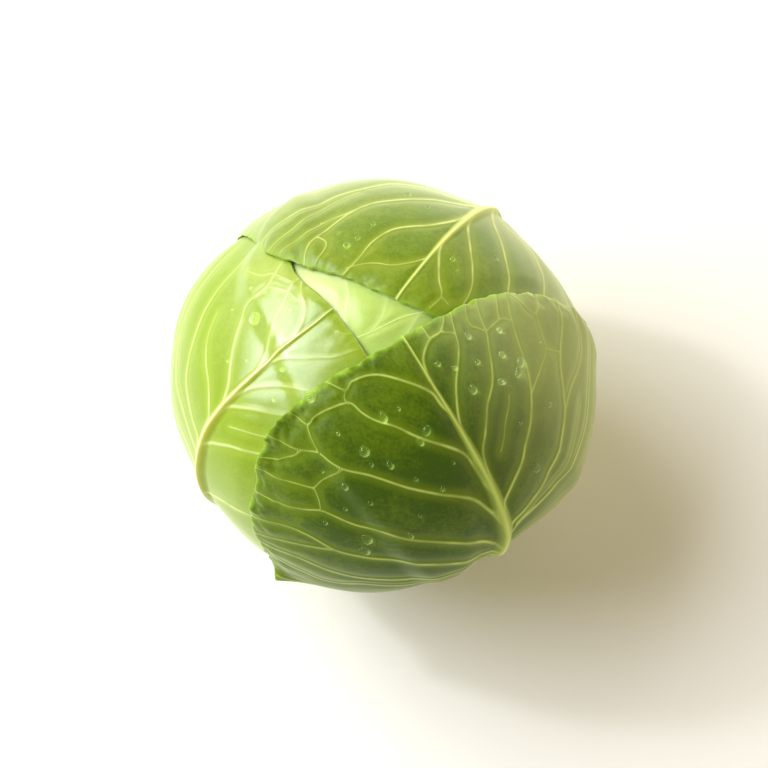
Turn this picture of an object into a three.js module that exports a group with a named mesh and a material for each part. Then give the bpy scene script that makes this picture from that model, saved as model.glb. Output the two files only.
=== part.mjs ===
// A head of green cabbage, standing on its cut stem. Millimetres, +Z up, with the origin at the centre of the
// stem's cut face. Four wrapper leaves lie in layers over a tight heart. Each leaf is drawn flat first, as if
// pressed, and is then wrapped over the head: the flat drawing is the head's surface, unrolled around the
// leaf's middle. In it x runs across the leaf, and y along it, from -115 at the stem over +133 at the crown.
import * as THREE from "three";

// Driving dimensions, mm
const HEART_RADIUS = 80;
const HEART_CROWN = 69;
const HEART_BASE = 65;
const HEART_LUMPS = 0.8;
const CENTRE_HEIGHT = 75;
const UNROLLED_RADIUS = 85;
const STEM_RADIUS = 15;
const STEM_HEIGHT = 9.4;
const BLADE_THICKNESS = 0.9;
const BASE_THICKENING = 1.5;
const LAYER_GAP = 0.7;
const LAYER_ALLOWANCE = 0.6;
const VEIN_HEIGHT = 0.95;
const VEIN_HALF_WIDTH = 2.2;
const TOOTH_DEPTH = 2.4;
const EDGE_WAVE = 1.1;
const FLAP_LIFT = 7;
const FLAP_HALF_WIDTH = 8;

// Spacing of the facets, mm
const EDGE_STEP = 7.2;
const RIB_STEP = 10;
const VEIN_STEP = 11;
const FILL_STEP = 11;
const EDGE_CLEARANCE = 4.2;

const DEGREES = Math.PI / 180;

// Where the packed leaves push the head out of round, or leave it hollow around a midrib's knee: degrees of
// azimuth and elevation, the height, and how far it spreads.
const SWELLS = [
  { azimuth: 156, elevation: 8, height: 4.6, spread: 30 },
  { azimuth: -174, elevation: -2, height: 1.4, spread: 18 },
  { azimuth: -147, elevation: -12, height: -4, spread: 15 },
  { azimuth: 88, elevation: 20, height: 1.6, spread: 24 },
  { azimuth: -60, elevation: -17, height: -6.4, spread: 29 },
  { azimuth: -28, elevation: -9, height: 2.6, spread: 15 },
];

// The wrapper leaves, from the innermost out. azimuth is where the midrib stands, in degrees. leftReach is the
// distance from the leaf's middle to its edge, every 15 degrees from the stem up the left side, and rightReach
// is the same from the tip down the right side. midrib holds [along, across] places. A vein is [where it
// leaves the midrib, the edge angle that it runs to, its bow towards the tip]. A vein that forks goes on with
// [the share of its length where it forks, the edge angle that the fork runs to]. Angles are degrees from the
// tip. flap is the edge angle of a torn flap that stands up.
const LEAVES = [
  {
    name: "leaf_inner",
    colour: 0xd5e695,
    azimuth: 12,
    rib: 0.6,
    keel: 1.8,
    leftReach: [114, 116, 112, 110, 110, 112, 117, 126, 136, 148, 158, 164],
    rightReach: [168, 172, 176, 168, 148, 129, 118, 112, 110, 110, 112, 116],
    midrib: [[-115, 0], [0, 0], [118, 2], [143, -5], [170, -8]],
    left: [[140, 34, 0], [118, 46, 0], [34, 78, 0], [-12, 106, 0], [-48, 136, 0]],
    right: [[148, 46, 0], [128, 58, 0], [40, 78, 0], [-6, 104, 0], [-42, 134, 0]],
  },
  {
    name: "leaf_left",
    colour: 0xb7d67a,
    azimuth: -148,
    rib: 0.8,
    keel: 0.6,
    leftReach: [114, 119, 121, 122, 126, 131, 134, 134, 130, 124, 117.5, 120],
    rightReach: [121, 122, 122, 120, 116, 112, 108, 104, 103, 106, 110, 115],
    midrib: [[-115, 0], [-50, 4], [0, 3], [18, -4], [39, -10], [71, -13], [105, -19], [122, -24]],
    left: [
      [82, 24, 0],
      [55, 35, 3, 0.6, 42],
      [32, 50, 5, 0.6, 60],
      [20, 76, 2],
      [12, 96, 0],
      [2, 116, 0],
      [-30, 138, 0],
    ],
    right: [
      [76, 5, -3],
      [66, 17, -2],
      [56, 28, 0],
      [38, 38, 2],
      [24, 50, 2],
      [13, 64, 2],
      [8, 84, 0],
      [0, 106, 0],
      [-34, 134, 0],
    ],
  },
  {
    name: "leaf_rear",
    colour: 0x9cc254,
    azimuth: 56,
    rib: 0.65,
    keel: 1.6,
    leftReach: [114, 116, 111, 107, 106, 108, 112, 115, 117, 118, 117, 118],
    rightReach: [121, 123.5, 127.5, 129, 122, 118, 115, 113, 113, 115, 117, 118],
    midrib: [[-115, 0], [0, 0], [122, 0]],
    left: [
      [91, 12, 3],
      [58, 19, 3],
      [40, 34, 5],
      [32, 49, 0],
      [24, 68, 0],
      [14, 90, 0],
      [2, 112, 0],
      [-34, 136, 0],
    ],
    right: [
      [93, 12, 4],
      [62, 20, 3],
      [45, 45, 8, 0.62, 35],
      [34, 60, 4],
      [26, 76, 0],
      [18, 96, 0],
      [6, 116, 0],
      [-30, 138, 0],
    ],
  },
  {
    name: "leaf_front",
    colour: 0x6f9a32,
    azimuth: -55,
    rib: 0.8,
    keel: 0.6,
    flap: -113,
    leftReach: [114, 116, 111, 104, 98, 96, 102, 112, 120, 128, 128, 125.5],
    rightReach: [123.5, 123, 121.5, 118, 112, 108, 104, 101, 101, 105, 111, 116],
    midrib: [[-115, 0], [0, -1], [25, 2], [100, 2], [124, 6]],
    left: [
      [95, 18, 6],
      [65, 27, 0],
      [38, 47.5, 10, 0.55, 55],
      [17, 63.5, 12],
      [8, 71, 6],
      [4, 84, 1],
      [-2, 102, 0],
      [-12, 120, 0],
      [-42, 138, 0],
    ],
    right: [
      [109, 16, 0],
      [76, 21, 3],
      [43, 29, 6],
      [32, 40.5, 2, 0.52, 53],
      [18, 62, 5, 0.5, 72],
      [15, 80, 0],
      [10, 98, -3],
      [0, 117, 0],
      [-34, 137, 0],
    ],
  },
];

// 0 below low, 1 above high, and a smooth step between them.
const smooth = (low, high, value) => {
  const t = Math.min(1, Math.max(0, (value - low) / (high - low)));
  return t * t * (3 - 2 * t);
};

// A repeatable random number from 0 to 1.
const seeded = (a, b) => {
  const s = Math.sin(a * 127.1 + b * 311.7) * 43758.5453;
  return s - Math.floor(s);
};

// A smooth curve through [place, value] pairs, level beyond its ends.
function curveThrough(pairs, place) {
  let i = 0;
  while (i < pairs.length - 2 && place > pairs[i + 1][0]) i++;
  const slope = (k) => {
    const before = pairs[Math.max(0, k - 1)];
    const after = pairs[Math.min(pairs.length - 1, k + 1)];
    return (after[1] - before[1]) / (after[0] - before[0]);
  };
  const [start, from] = pairs[i];
  const [end, to] = pairs[i + 1];
  const span = end - start;
  const t = Math.min(1, Math.max(0, (place - start) / span));
  const back = 1 - t;
  const bend = t * back * span * (back * slope(i) - t * slope(i + 1));
  return from + (to - from) * t * t * (3 - 2 * t) + bend;
}

// The flat drawing

const midribX = (leaf, y) => curveThrough(leaf.midrib, y);

// Distance from the leaf's middle to its edge, at an angle in degrees from the tip.
function reachAt(leaf, degrees) {
  const reach = [...leaf.leftReach, ...leaf.rightReach];
  const place = (((degrees + 180) / 360) * reach.length) % reach.length;
  const i = Math.floor(place);
  const t = place - i;
  const [a, b, c, d] = [-1, 0, 1, 2].map((k) => reach[(i + k + reach.length) % reach.length]);
  return b + 0.5 * t * (c - a + t * (2 * a - 5 * b + 4 * c - d + t * (3 * (b - c) + d - a)));
}

const angleOf = (p) => Math.atan2(p.x, p.y) / DEGREES;
const pointAt = (degrees, distance) =>
  new THREE.Vector2(Math.sin(degrees * DEGREES), Math.cos(degrees * DEGREES)).multiplyScalar(distance);

// How far a flat point lies outside the leaf's edge: less than zero inside.
const beyondEdge = (leaf, p) => p.length() - reachAt(leaf, angleOf(p));

// Half the midrib's width, and its height above the blade.
const ribHalfWidth = (y) =>
  curveThrough([[-115, 8.5], [-40, 6.4], [12, 4.2], [60, 2.8], [100, 1.7], [170, 1.2]], y);
const ribHeight = (leaf, y) =>
  leaf.rib * curveThrough([[-115, 2.2], [-30, 3.2], [12, 4.2], [35, 2.9], [70, 1.7], [105, 1], [170, 0.7]], y);

// The blade's thickness, which grows towards the midrib's foot.
function bladeThickness(leaf, p) {
  const besideRib = (p.x - midribX(leaf, p.y)) / 24;
  return BLADE_THICKNESS + BASE_THICKENING * Math.exp(-besideRib * besideRib) * smooth(30, -100, p.y);
}

// A broad swelling of the whole leaf along its midrib, which the leaves above it follow.
function keelHeight(leaf, p) {
  const besideRib = (p.x - midribX(leaf, p.y)) / 10;
  const along = curveThrough([[-115, 0], [-70, 0.3], [8, 1], [45, 0.55], [90, 0.2], [170, 0]], p.y);
  return leaf.keel * Math.exp(-besideRib * besideRib) * along;
}

// A lateral vein's points, from the midrib to the edge, a step apart.
function lateral(leaf, side, [start, edgeAngle, bow], step) {
  const from = new THREE.Vector2(midribX(leaf, start), start);
  const to = pointAt(side * edgeAngle, reachAt(leaf, side * edgeAngle) - 3);
  const lift = new THREE.Vector2(0, bow * 1.33);
  const near = from.clone().lerp(to, 0.3).add(lift);
  const far = from.clone().lerp(to, 0.7).add(lift);
  const curve = new THREE.CubicBezierCurve(from, near, far, to);
  return curve.getSpacedPoints(Math.max(3, Math.round(curve.getLength() / step)));
}

// The straight branch that leaves a lateral vein and runs to the edge.
function fork(leaf, side, vein, step) {
  const [share, edgeAngle] = vein.slice(3);
  const parent = lateral(leaf, side, vein, 2);
  const from = parent[Math.round(share * (parent.length - 1))];
  const to = pointAt(side * edgeAngle, reachAt(leaf, side * edgeAngle) - 3);
  const count = Math.max(3, Math.round(from.distanceTo(to) / step));
  return Array.from({ length: count + 1 }, (_, i) => from.clone().lerp(to, i / count));
}

// Every vein of a leaf, as lists of points a step apart.
function veinsOf(leaf, step) {
  const sides = [[leaf.right, 1], [leaf.left, -1]];
  const laterals = sides.flatMap(([veins, side]) => veins.map((vein) => lateral(leaf, side, vein, step)));
  const forks = sides.flatMap(([veins, side]) =>
    veins.filter((vein) => vein.length > 3).map((vein) => fork(leaf, side, vein, step)),
  );
  return [...laterals, ...forks];
}

function distanceToLine(line, p) {
  let least = Infinity;
  for (let i = 0; i < line.length - 1; i++) {
    const along = line[i + 1].clone().sub(line[i]);
    const from = p.clone().sub(line[i]);
    const share = Math.min(1, Math.max(0, from.dot(along) / along.lengthSq()));
    least = Math.min(least, from.addScaledVector(along, -share).length());
  }
  return least;
}

// The leaf's toothed edge. The edge stays plain where it clasps the stem.
function edgePoints(leaf) {
  const count = 2 * Math.round((2 * Math.PI * 112) / EDGE_STEP / 2);
  return Array.from({ length: count }, (_, i) => {
    const degrees = (360 * i) / count - 180;
    const fromStem = smooth(8, 30, 180 - Math.abs(degrees));
    const tooth = (i % 2) * TOOTH_DEPTH * (0.5 + 0.5 * seeded(i, leaf.azimuth)) * fromStem;
    return pointAt(degrees, reachAt(leaf, degrees) - tooth);
  });
}

// The wrapping

// The direction from the head's centre to a flat point of a leaf, and the way back.
function frameOf(leaf) {
  const out = new THREE.Vector3(Math.cos(leaf.azimuth * DEGREES), Math.sin(leaf.azimuth * DEGREES), 0);
  const up = new THREE.Vector3(0, 0, 1);
  return { out, up, across: up.clone().cross(out) };
}

function directionOf(leaf, p) {
  const { out, up, across } = frameOf(leaf);
  const tilt = p.length() / UNROLLED_RADIUS;
  const sideways = across.multiplyScalar(p.x).addScaledVector(up, p.y);
  return out.multiplyScalar(Math.cos(tilt)).addScaledVector(sideways.normalize(), Math.sin(tilt));
}

function flatPointOf(leaf, direction) {
  const { out, up, across } = frameOf(leaf);
  const tilt = Math.acos(Math.min(1, Math.max(-1, direction.dot(out))));
  const p = new THREE.Vector2(direction.dot(across), direction.dot(up));
  return p.setLength(tilt * UNROLLED_RADIUS);
}

// The swells and hollows of the whole head, which every leaf follows.
function swellHeight(direction) {
  return SWELLS.reduce((height, swell) => {
    const level = Math.cos(swell.elevation * DEGREES);
    const [x, y] = [Math.cos, Math.sin].map((f) => level * f(swell.azimuth * DEGREES));
    const middle = new THREE.Vector3(x, y, Math.sin(swell.elevation * DEGREES));
    const away = (direction.angleTo(middle) * UNROLLED_RADIUS) / swell.spread;
    return height + swell.height * Math.exp(-away * away);
  }, 0);
}

// The heart is flatter above and below than it is wide, with the soft lumps of the leaves packed in it.
function heartRadius(direction) {
  const { x, y, z } = direction;
  const upright = z / (z > 0 ? HEART_CROWN : HEART_BASE);
  const level = Math.hypot(x, y) / HEART_RADIUS;
  const lumps = Math.sin(2.1 * x + 2.9 * y + 1.1) * Math.cos(2.3 * z - 1.7 * x);
  return 1 / Math.hypot(level, upright) + HEART_LUMPS * lumps + swellHeight(direction);
}

// 1 where a leaf is, and in a margin around it that lets the leaf above pass over its edge.
const cover = (leaf, p) => 1 - smooth(9, 20, beyondEdge(leaf, p));

// The height above the heart of the leaves that lie under a leaf.
function stackUnder(level, direction) {
  return LEAVES.slice(0, level).reduce((height, leaf) => {
    const p = flatPointOf(leaf, direction);
    const layer = LAYER_GAP + LAYER_ALLOWANCE + bladeThickness(leaf, p) + keelHeight(leaf, p);
    return height + cover(leaf, p) * layer;
  }, 0);
}

// 1 where no leaf lies above, 0 where one does.
function exposure(level, direction) {
  return LEAVES.slice(level + 1).reduce(
    (open, leaf) => open * smooth(0, 9, beyondEdge(leaf, flatPointOf(leaf, direction))),
    1,
  );
}

// The height of the midrib and the veins above the blade, low where another leaf presses on them.
function relief(leaf, veins, p, open) {
  const besideRib = (p.x - midribX(leaf, p.y)) / ribHalfWidth(p.y);
  const rib = ribHeight(leaf, p.y) * Math.max(0, 1 - besideRib * besideRib) * (0.12 + 0.88 * open);
  const besideVein = Math.min(...veins.map((vein) => distanceToLine(vein, p))) / VEIN_HALF_WIDTH;
  const vein = VEIN_HEIGHT * Math.max(0, 1 - besideVein) * (0.45 + 0.55 * open);
  return Math.max(rib, vein);
}

// How far a free edge stands off the leaf below, in waves and at a flap. The edge lies close where it clasps
// the stem.
function edgeLift(leaf, p, open) {
  const degrees = angleOf(p);
  const angle = degrees * DEGREES;
  const wave = 0.5 + 0.5 * Math.sin(23 * angle + 2.2 * Math.sin(3 * angle + leaf.azimuth));
  const besideFlap = p.distanceTo(pointAt(leaf.flap ?? 0, p.length())) / FLAP_HALF_WIDTH;
  const flap = leaf.flap ? FLAP_LIFT * Math.exp(-besideFlap * besideFlap) : 0;
  const nearEdge = Math.exp(beyondEdge(leaf, p) / 7);
  return (EDGE_WAVE * wave * smooth(150, 120, Math.abs(degrees)) + flap) * nearEdge * open;
}

// The facets

// The flat points that a leaf's facets join: its edge, its midrib and veins with their feet, and a fill.
function leafPoints(leaf, edge) {
  const points = [...edge];
  const edgeLine = [...edge, edge[0]];
  const add = (p, gap) => {
    const inside = beyondEdge(leaf, p) < -EDGE_CLEARANCE && distanceToLine(edgeLine, p) > EDGE_CLEARANCE;
    if (inside && points.every((other) => other.distanceTo(p) > gap)) points.push(p);
  };
  const tip = leaf.midrib.at(-1)[0];
  for (const share of [0, -1, 1, -0.55, 0.55])
    for (let y = -106; y < tip; y += RIB_STEP)
      add(new THREE.Vector2(midribX(leaf, y) + share * ribHalfWidth(y), y), 1.7);
  const veins = veinsOf(leaf, VEIN_STEP);
  for (const vein of veins) for (const p of vein) add(p, 2.6);
  for (const vein of veins)
    for (let i = 1; i < vein.length; i++) {
      const aside = vein[i].clone().sub(vein[i - 1]).rotateAround(new THREE.Vector2(), Math.PI / 2);
      aside.setLength(VEIN_HALF_WIDTH);
      add(vein[i].clone().add(aside), 1.7);
      add(vein[i].clone().sub(aside), 1.7);
    }
  const rowHeight = FILL_STEP * Math.sin(60 * DEGREES);
  const rows = Math.ceil(180 / rowHeight);
  for (let row = -rows; row <= rows; row++)
    for (let column = -rows; column <= rows; column++) {
      const across = (column + 0.5 * (row & 1)) * FILL_STEP;
      add(new THREE.Vector2(across + 0.37, row * rowHeight + 0.21), 0.62 * FILL_STEP);
    }
  return points;
}

// The circle through three points.
function circleThrough(a, b, c) {
  const [p, q] = [b.clone().sub(a), c.clone().sub(a)];
  const [pp, qq] = [p.lengthSq(), q.lengthSq()];
  const centre = new THREE.Vector2(q.y * pp - p.y * qq, p.x * qq - q.x * pp).divideScalar(2 * p.cross(q));
  return { radius: centre.length(), centre: centre.add(a) };
}

// Even triangles between points: each point in turn replaces the triangles whose circle holds it.
function triangulate(points) {
  const n = points.length;
  const farCorners = [0, 120, 240].map((degrees) => pointAt(degrees, 1e4));
  const all = [...points, ...farCorners.reverse()];
  const triangle = (...corners) => ({ corners, circle: circleThrough(...corners.map((i) => all[i])) });
  let triangles = [triangle(n, n + 1, n + 2)];
  points.forEach((p, i) => {
    const holds = ({ circle }) => p.distanceTo(circle.centre) < circle.radius;
    const opened = triangles.filter(holds).map((t) => t.corners);
    triangles = triangles.filter((t) => !holds(t));
    for (const [a, b] of outlineOf(opened)) triangles.push(triangle(a, b, i));
  });
  return triangles.map((t) => t.corners).filter((corners) => Math.max(...corners) < n);
}

// The edges that only one triangle has.
function outlineOf(triangles) {
  const edges = new Map();
  for (const [a, b, c] of triangles)
    for (const [from, to] of [[a, b], [b, c], [c, a]])
      if (!edges.delete(`${to},${from}`)) edges.set(`${from},${to}`, [from, to]);
  return [...edges.values()];
}

// A leaf as a closed solid: the same triangles on its outer and inner face, joined by a strip at the edge.
function leafGeometry(level) {
  const leaf = LEAVES[level];
  const edge = edgePoints(leaf);
  const points = leafPoints(leaf, edge);
  const inLeaf = (corners) => {
    if (Math.max(...corners) >= edge.length) return true;
    const middle = new THREE.Vector2();
    for (const corner of corners) middle.addScaledVector(points[corner], 1 / 3);
    const place = Math.floor(((angleOf(middle) + 180) / 360) * edge.length);
    const [before, after] = [edge[place % edge.length], edge[(place + 1) % edge.length]];
    return after.clone().sub(before).cross(middle.clone().sub(before)) < 0;
  };
  const triangles = triangulate(points).filter(inLeaf);

  const veins = veinsOf(leaf, 4);
  const outer = [];
  const inner = [];
  for (const p of points) {
    const direction = directionOf(leaf, p);
    const open = exposure(level, direction);
    const under = heartRadius(direction) + stackUnder(level, direction) + LAYER_GAP;
    const low = under + keelHeight(leaf, p) + edgeLift(leaf, p, open);
    const high = low + bladeThickness(leaf, p) + relief(leaf, veins, p, open);
    inner.push(direction.clone().multiplyScalar(low));
    outer.push(direction.clone().multiplyScalar(high));
  }

  const n = points.length;
  const faces = triangles.flatMap(([a, b, c]) => [a, b, c, a + n, c + n, b + n]);
  const rim = outlineOf(triangles).flatMap(([a, b]) => [b, a, a + n, b, a + n, b + n]);
  const geometry = new THREE.BufferGeometry().setFromPoints([...outer, ...inner]);
  geometry.setIndex([...faces, ...rim]);
  return geometry.translate(0, 0, CENTRE_HEIGHT);
}

// The heart, which lies a little under its leaves so that no facet reaches into them.
function heartGeometry() {
  const geometry = new THREE.SphereGeometry(1, 56, 36).rotateX(90 * DEGREES);
  const places = geometry.attributes.position;
  const direction = new THREE.Vector3();
  for (let i = 0; i < places.count; i++) {
    direction.fromBufferAttribute(places, i).normalize();
    const { x, y, z } = direction.clone().multiplyScalar(heartRadius(direction) - LAYER_ALLOWANCE);
    places.setXYZ(i, x, y, z);
  }
  return geometry.translate(0, 0, CENTRE_HEIGHT);
}

// The stem's stub: a flat cut below, and a swelling where the leaves leave it.
function stemGeometry() {
  const profile = [
    [0, 0],
    [STEM_RADIUS - 1.2, 0],
    [STEM_RADIUS - 0.3, 0.7],
    [STEM_RADIUS, 2],
    [STEM_RADIUS + 0.8, 4.5],
    [STEM_RADIUS + 0.6, 7],
    [STEM_RADIUS - 2, STEM_HEIGHT],
    [0, STEM_HEIGHT],
  ];
  const outline = profile.map(([radius, height]) => new THREE.Vector2(radius, height));
  return new THREE.LatheGeometry(outline, 32).rotateX(90 * DEGREES);
}

function addMesh(group, name, geometry, colour, roughness) {
  geometry.computeVertexNormals();
  const material = new THREE.MeshStandardMaterial({ color: colour, roughness, metalness: 0 });
  const mesh = new THREE.Mesh(geometry, material);
  mesh.name = name;
  group.add(mesh);
}

const cabbage = new THREE.Group();
addMesh(cabbage, "stem", stemGeometry(), 0xe6e3b8, 0.7);
addMesh(cabbage, "heart", heartGeometry(), 0xdfe9b4, 0.5);
LEAVES.forEach((leaf, level) => addMesh(cabbage, leaf.name, leafGeometry(level), leaf.colour, 0.45));

export default cabbage;
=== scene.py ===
"""A head of green cabbage with water drops on its leaves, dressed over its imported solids. Metres, +Z up."""
import math

import bpy
import numpy as np
from bpy.props import FloatProperty, FloatVectorProperty, PointerProperty
from bpy.types import Operator, Panel, PropertyGroup
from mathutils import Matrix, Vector


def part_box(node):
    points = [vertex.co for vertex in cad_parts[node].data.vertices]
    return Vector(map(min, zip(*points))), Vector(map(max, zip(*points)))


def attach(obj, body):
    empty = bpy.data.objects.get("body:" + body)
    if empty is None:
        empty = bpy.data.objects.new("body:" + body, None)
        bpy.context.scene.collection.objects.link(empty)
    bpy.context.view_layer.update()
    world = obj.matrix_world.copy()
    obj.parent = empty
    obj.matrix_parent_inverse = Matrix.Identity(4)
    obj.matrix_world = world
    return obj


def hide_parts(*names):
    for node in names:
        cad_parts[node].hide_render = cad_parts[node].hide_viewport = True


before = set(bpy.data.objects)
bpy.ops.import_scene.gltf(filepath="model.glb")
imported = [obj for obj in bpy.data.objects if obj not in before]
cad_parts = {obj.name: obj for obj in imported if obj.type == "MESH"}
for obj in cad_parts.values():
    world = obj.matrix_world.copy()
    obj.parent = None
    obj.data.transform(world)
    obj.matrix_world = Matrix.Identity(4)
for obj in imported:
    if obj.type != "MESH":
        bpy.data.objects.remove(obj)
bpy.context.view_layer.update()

bl_info = {
    "name": "Cabbage Head",
    "version": (1, 0, 0),
    "blender": (4, 5, 0),
    "location": "View3D > Sidebar > Cabbage",
    "description": "Builds a head of green cabbage with veined, lapped leaves and water drops",
    "category": "Add Mesh",
}

MM = 0.001

# The head's measures, in millimetres but for the stem's box, which comes from the frame in metres. A leaf
# drawn flat is wrapped round a ball of the unrolled radius. It lies on the leaves below with the gap and
# the allowance for their veins, is thicker by the base thickening at its foot, and its free edge sinks by
# the hug.
STEM_LOW, STEM_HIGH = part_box("stem")
CENTRE_HEIGHT = 75.0
CENTRE = np.array([0, 0, CENTRE_HEIGHT])
HEART_LUMPS = 0.8
UNROLLED_RADIUS = 85.0
LAYER_GAP = 0.7
LAYER_ALLOWANCE = 0.6
BASE_THICKENING = 1.5
EDGE_HUG = 0.9
EDGE_SAG_SHARE = 0.9
EDGE_SAG_REACH = 6.0
PRESSED_RIB = 0.12
PRESSED_VEIN = 0.3

# The front leaf's torn flap: how wide it is in millimetres, and over which degrees its torn end drops.
FLAP_HALF_WIDTH = 7.0
FLAP_END = (7, 4)

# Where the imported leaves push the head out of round, or leave it hollow around a midrib's knee: degrees of
# azimuth and elevation, the height in millimetres, and how far it spreads.
SWELLS = [
    (156, 8, 4.6, 30),
    (-174, -2, 1.4, 18),
    (-147, -12, -4.0, 15),
    (88, 20, 1.6, 24),
    (-60, -17, -6.4, 29),
    (-28, -9, 2.6, 15),
]

# The pale film, partly wax paint and partly painted sheen, fades over this height, and the line where
# leaf_inner's painted highlight starts runs across the leaf at this slope.
WAX_AND_SHEEN_FADE = 40.0
FOLD_SLOPE = 0.275

# The leaf's grid: cells across its outer face, and how many of them go to one cell of its inner face.
OUTER_CELLS = 280
INNER_STEP = 4
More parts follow.
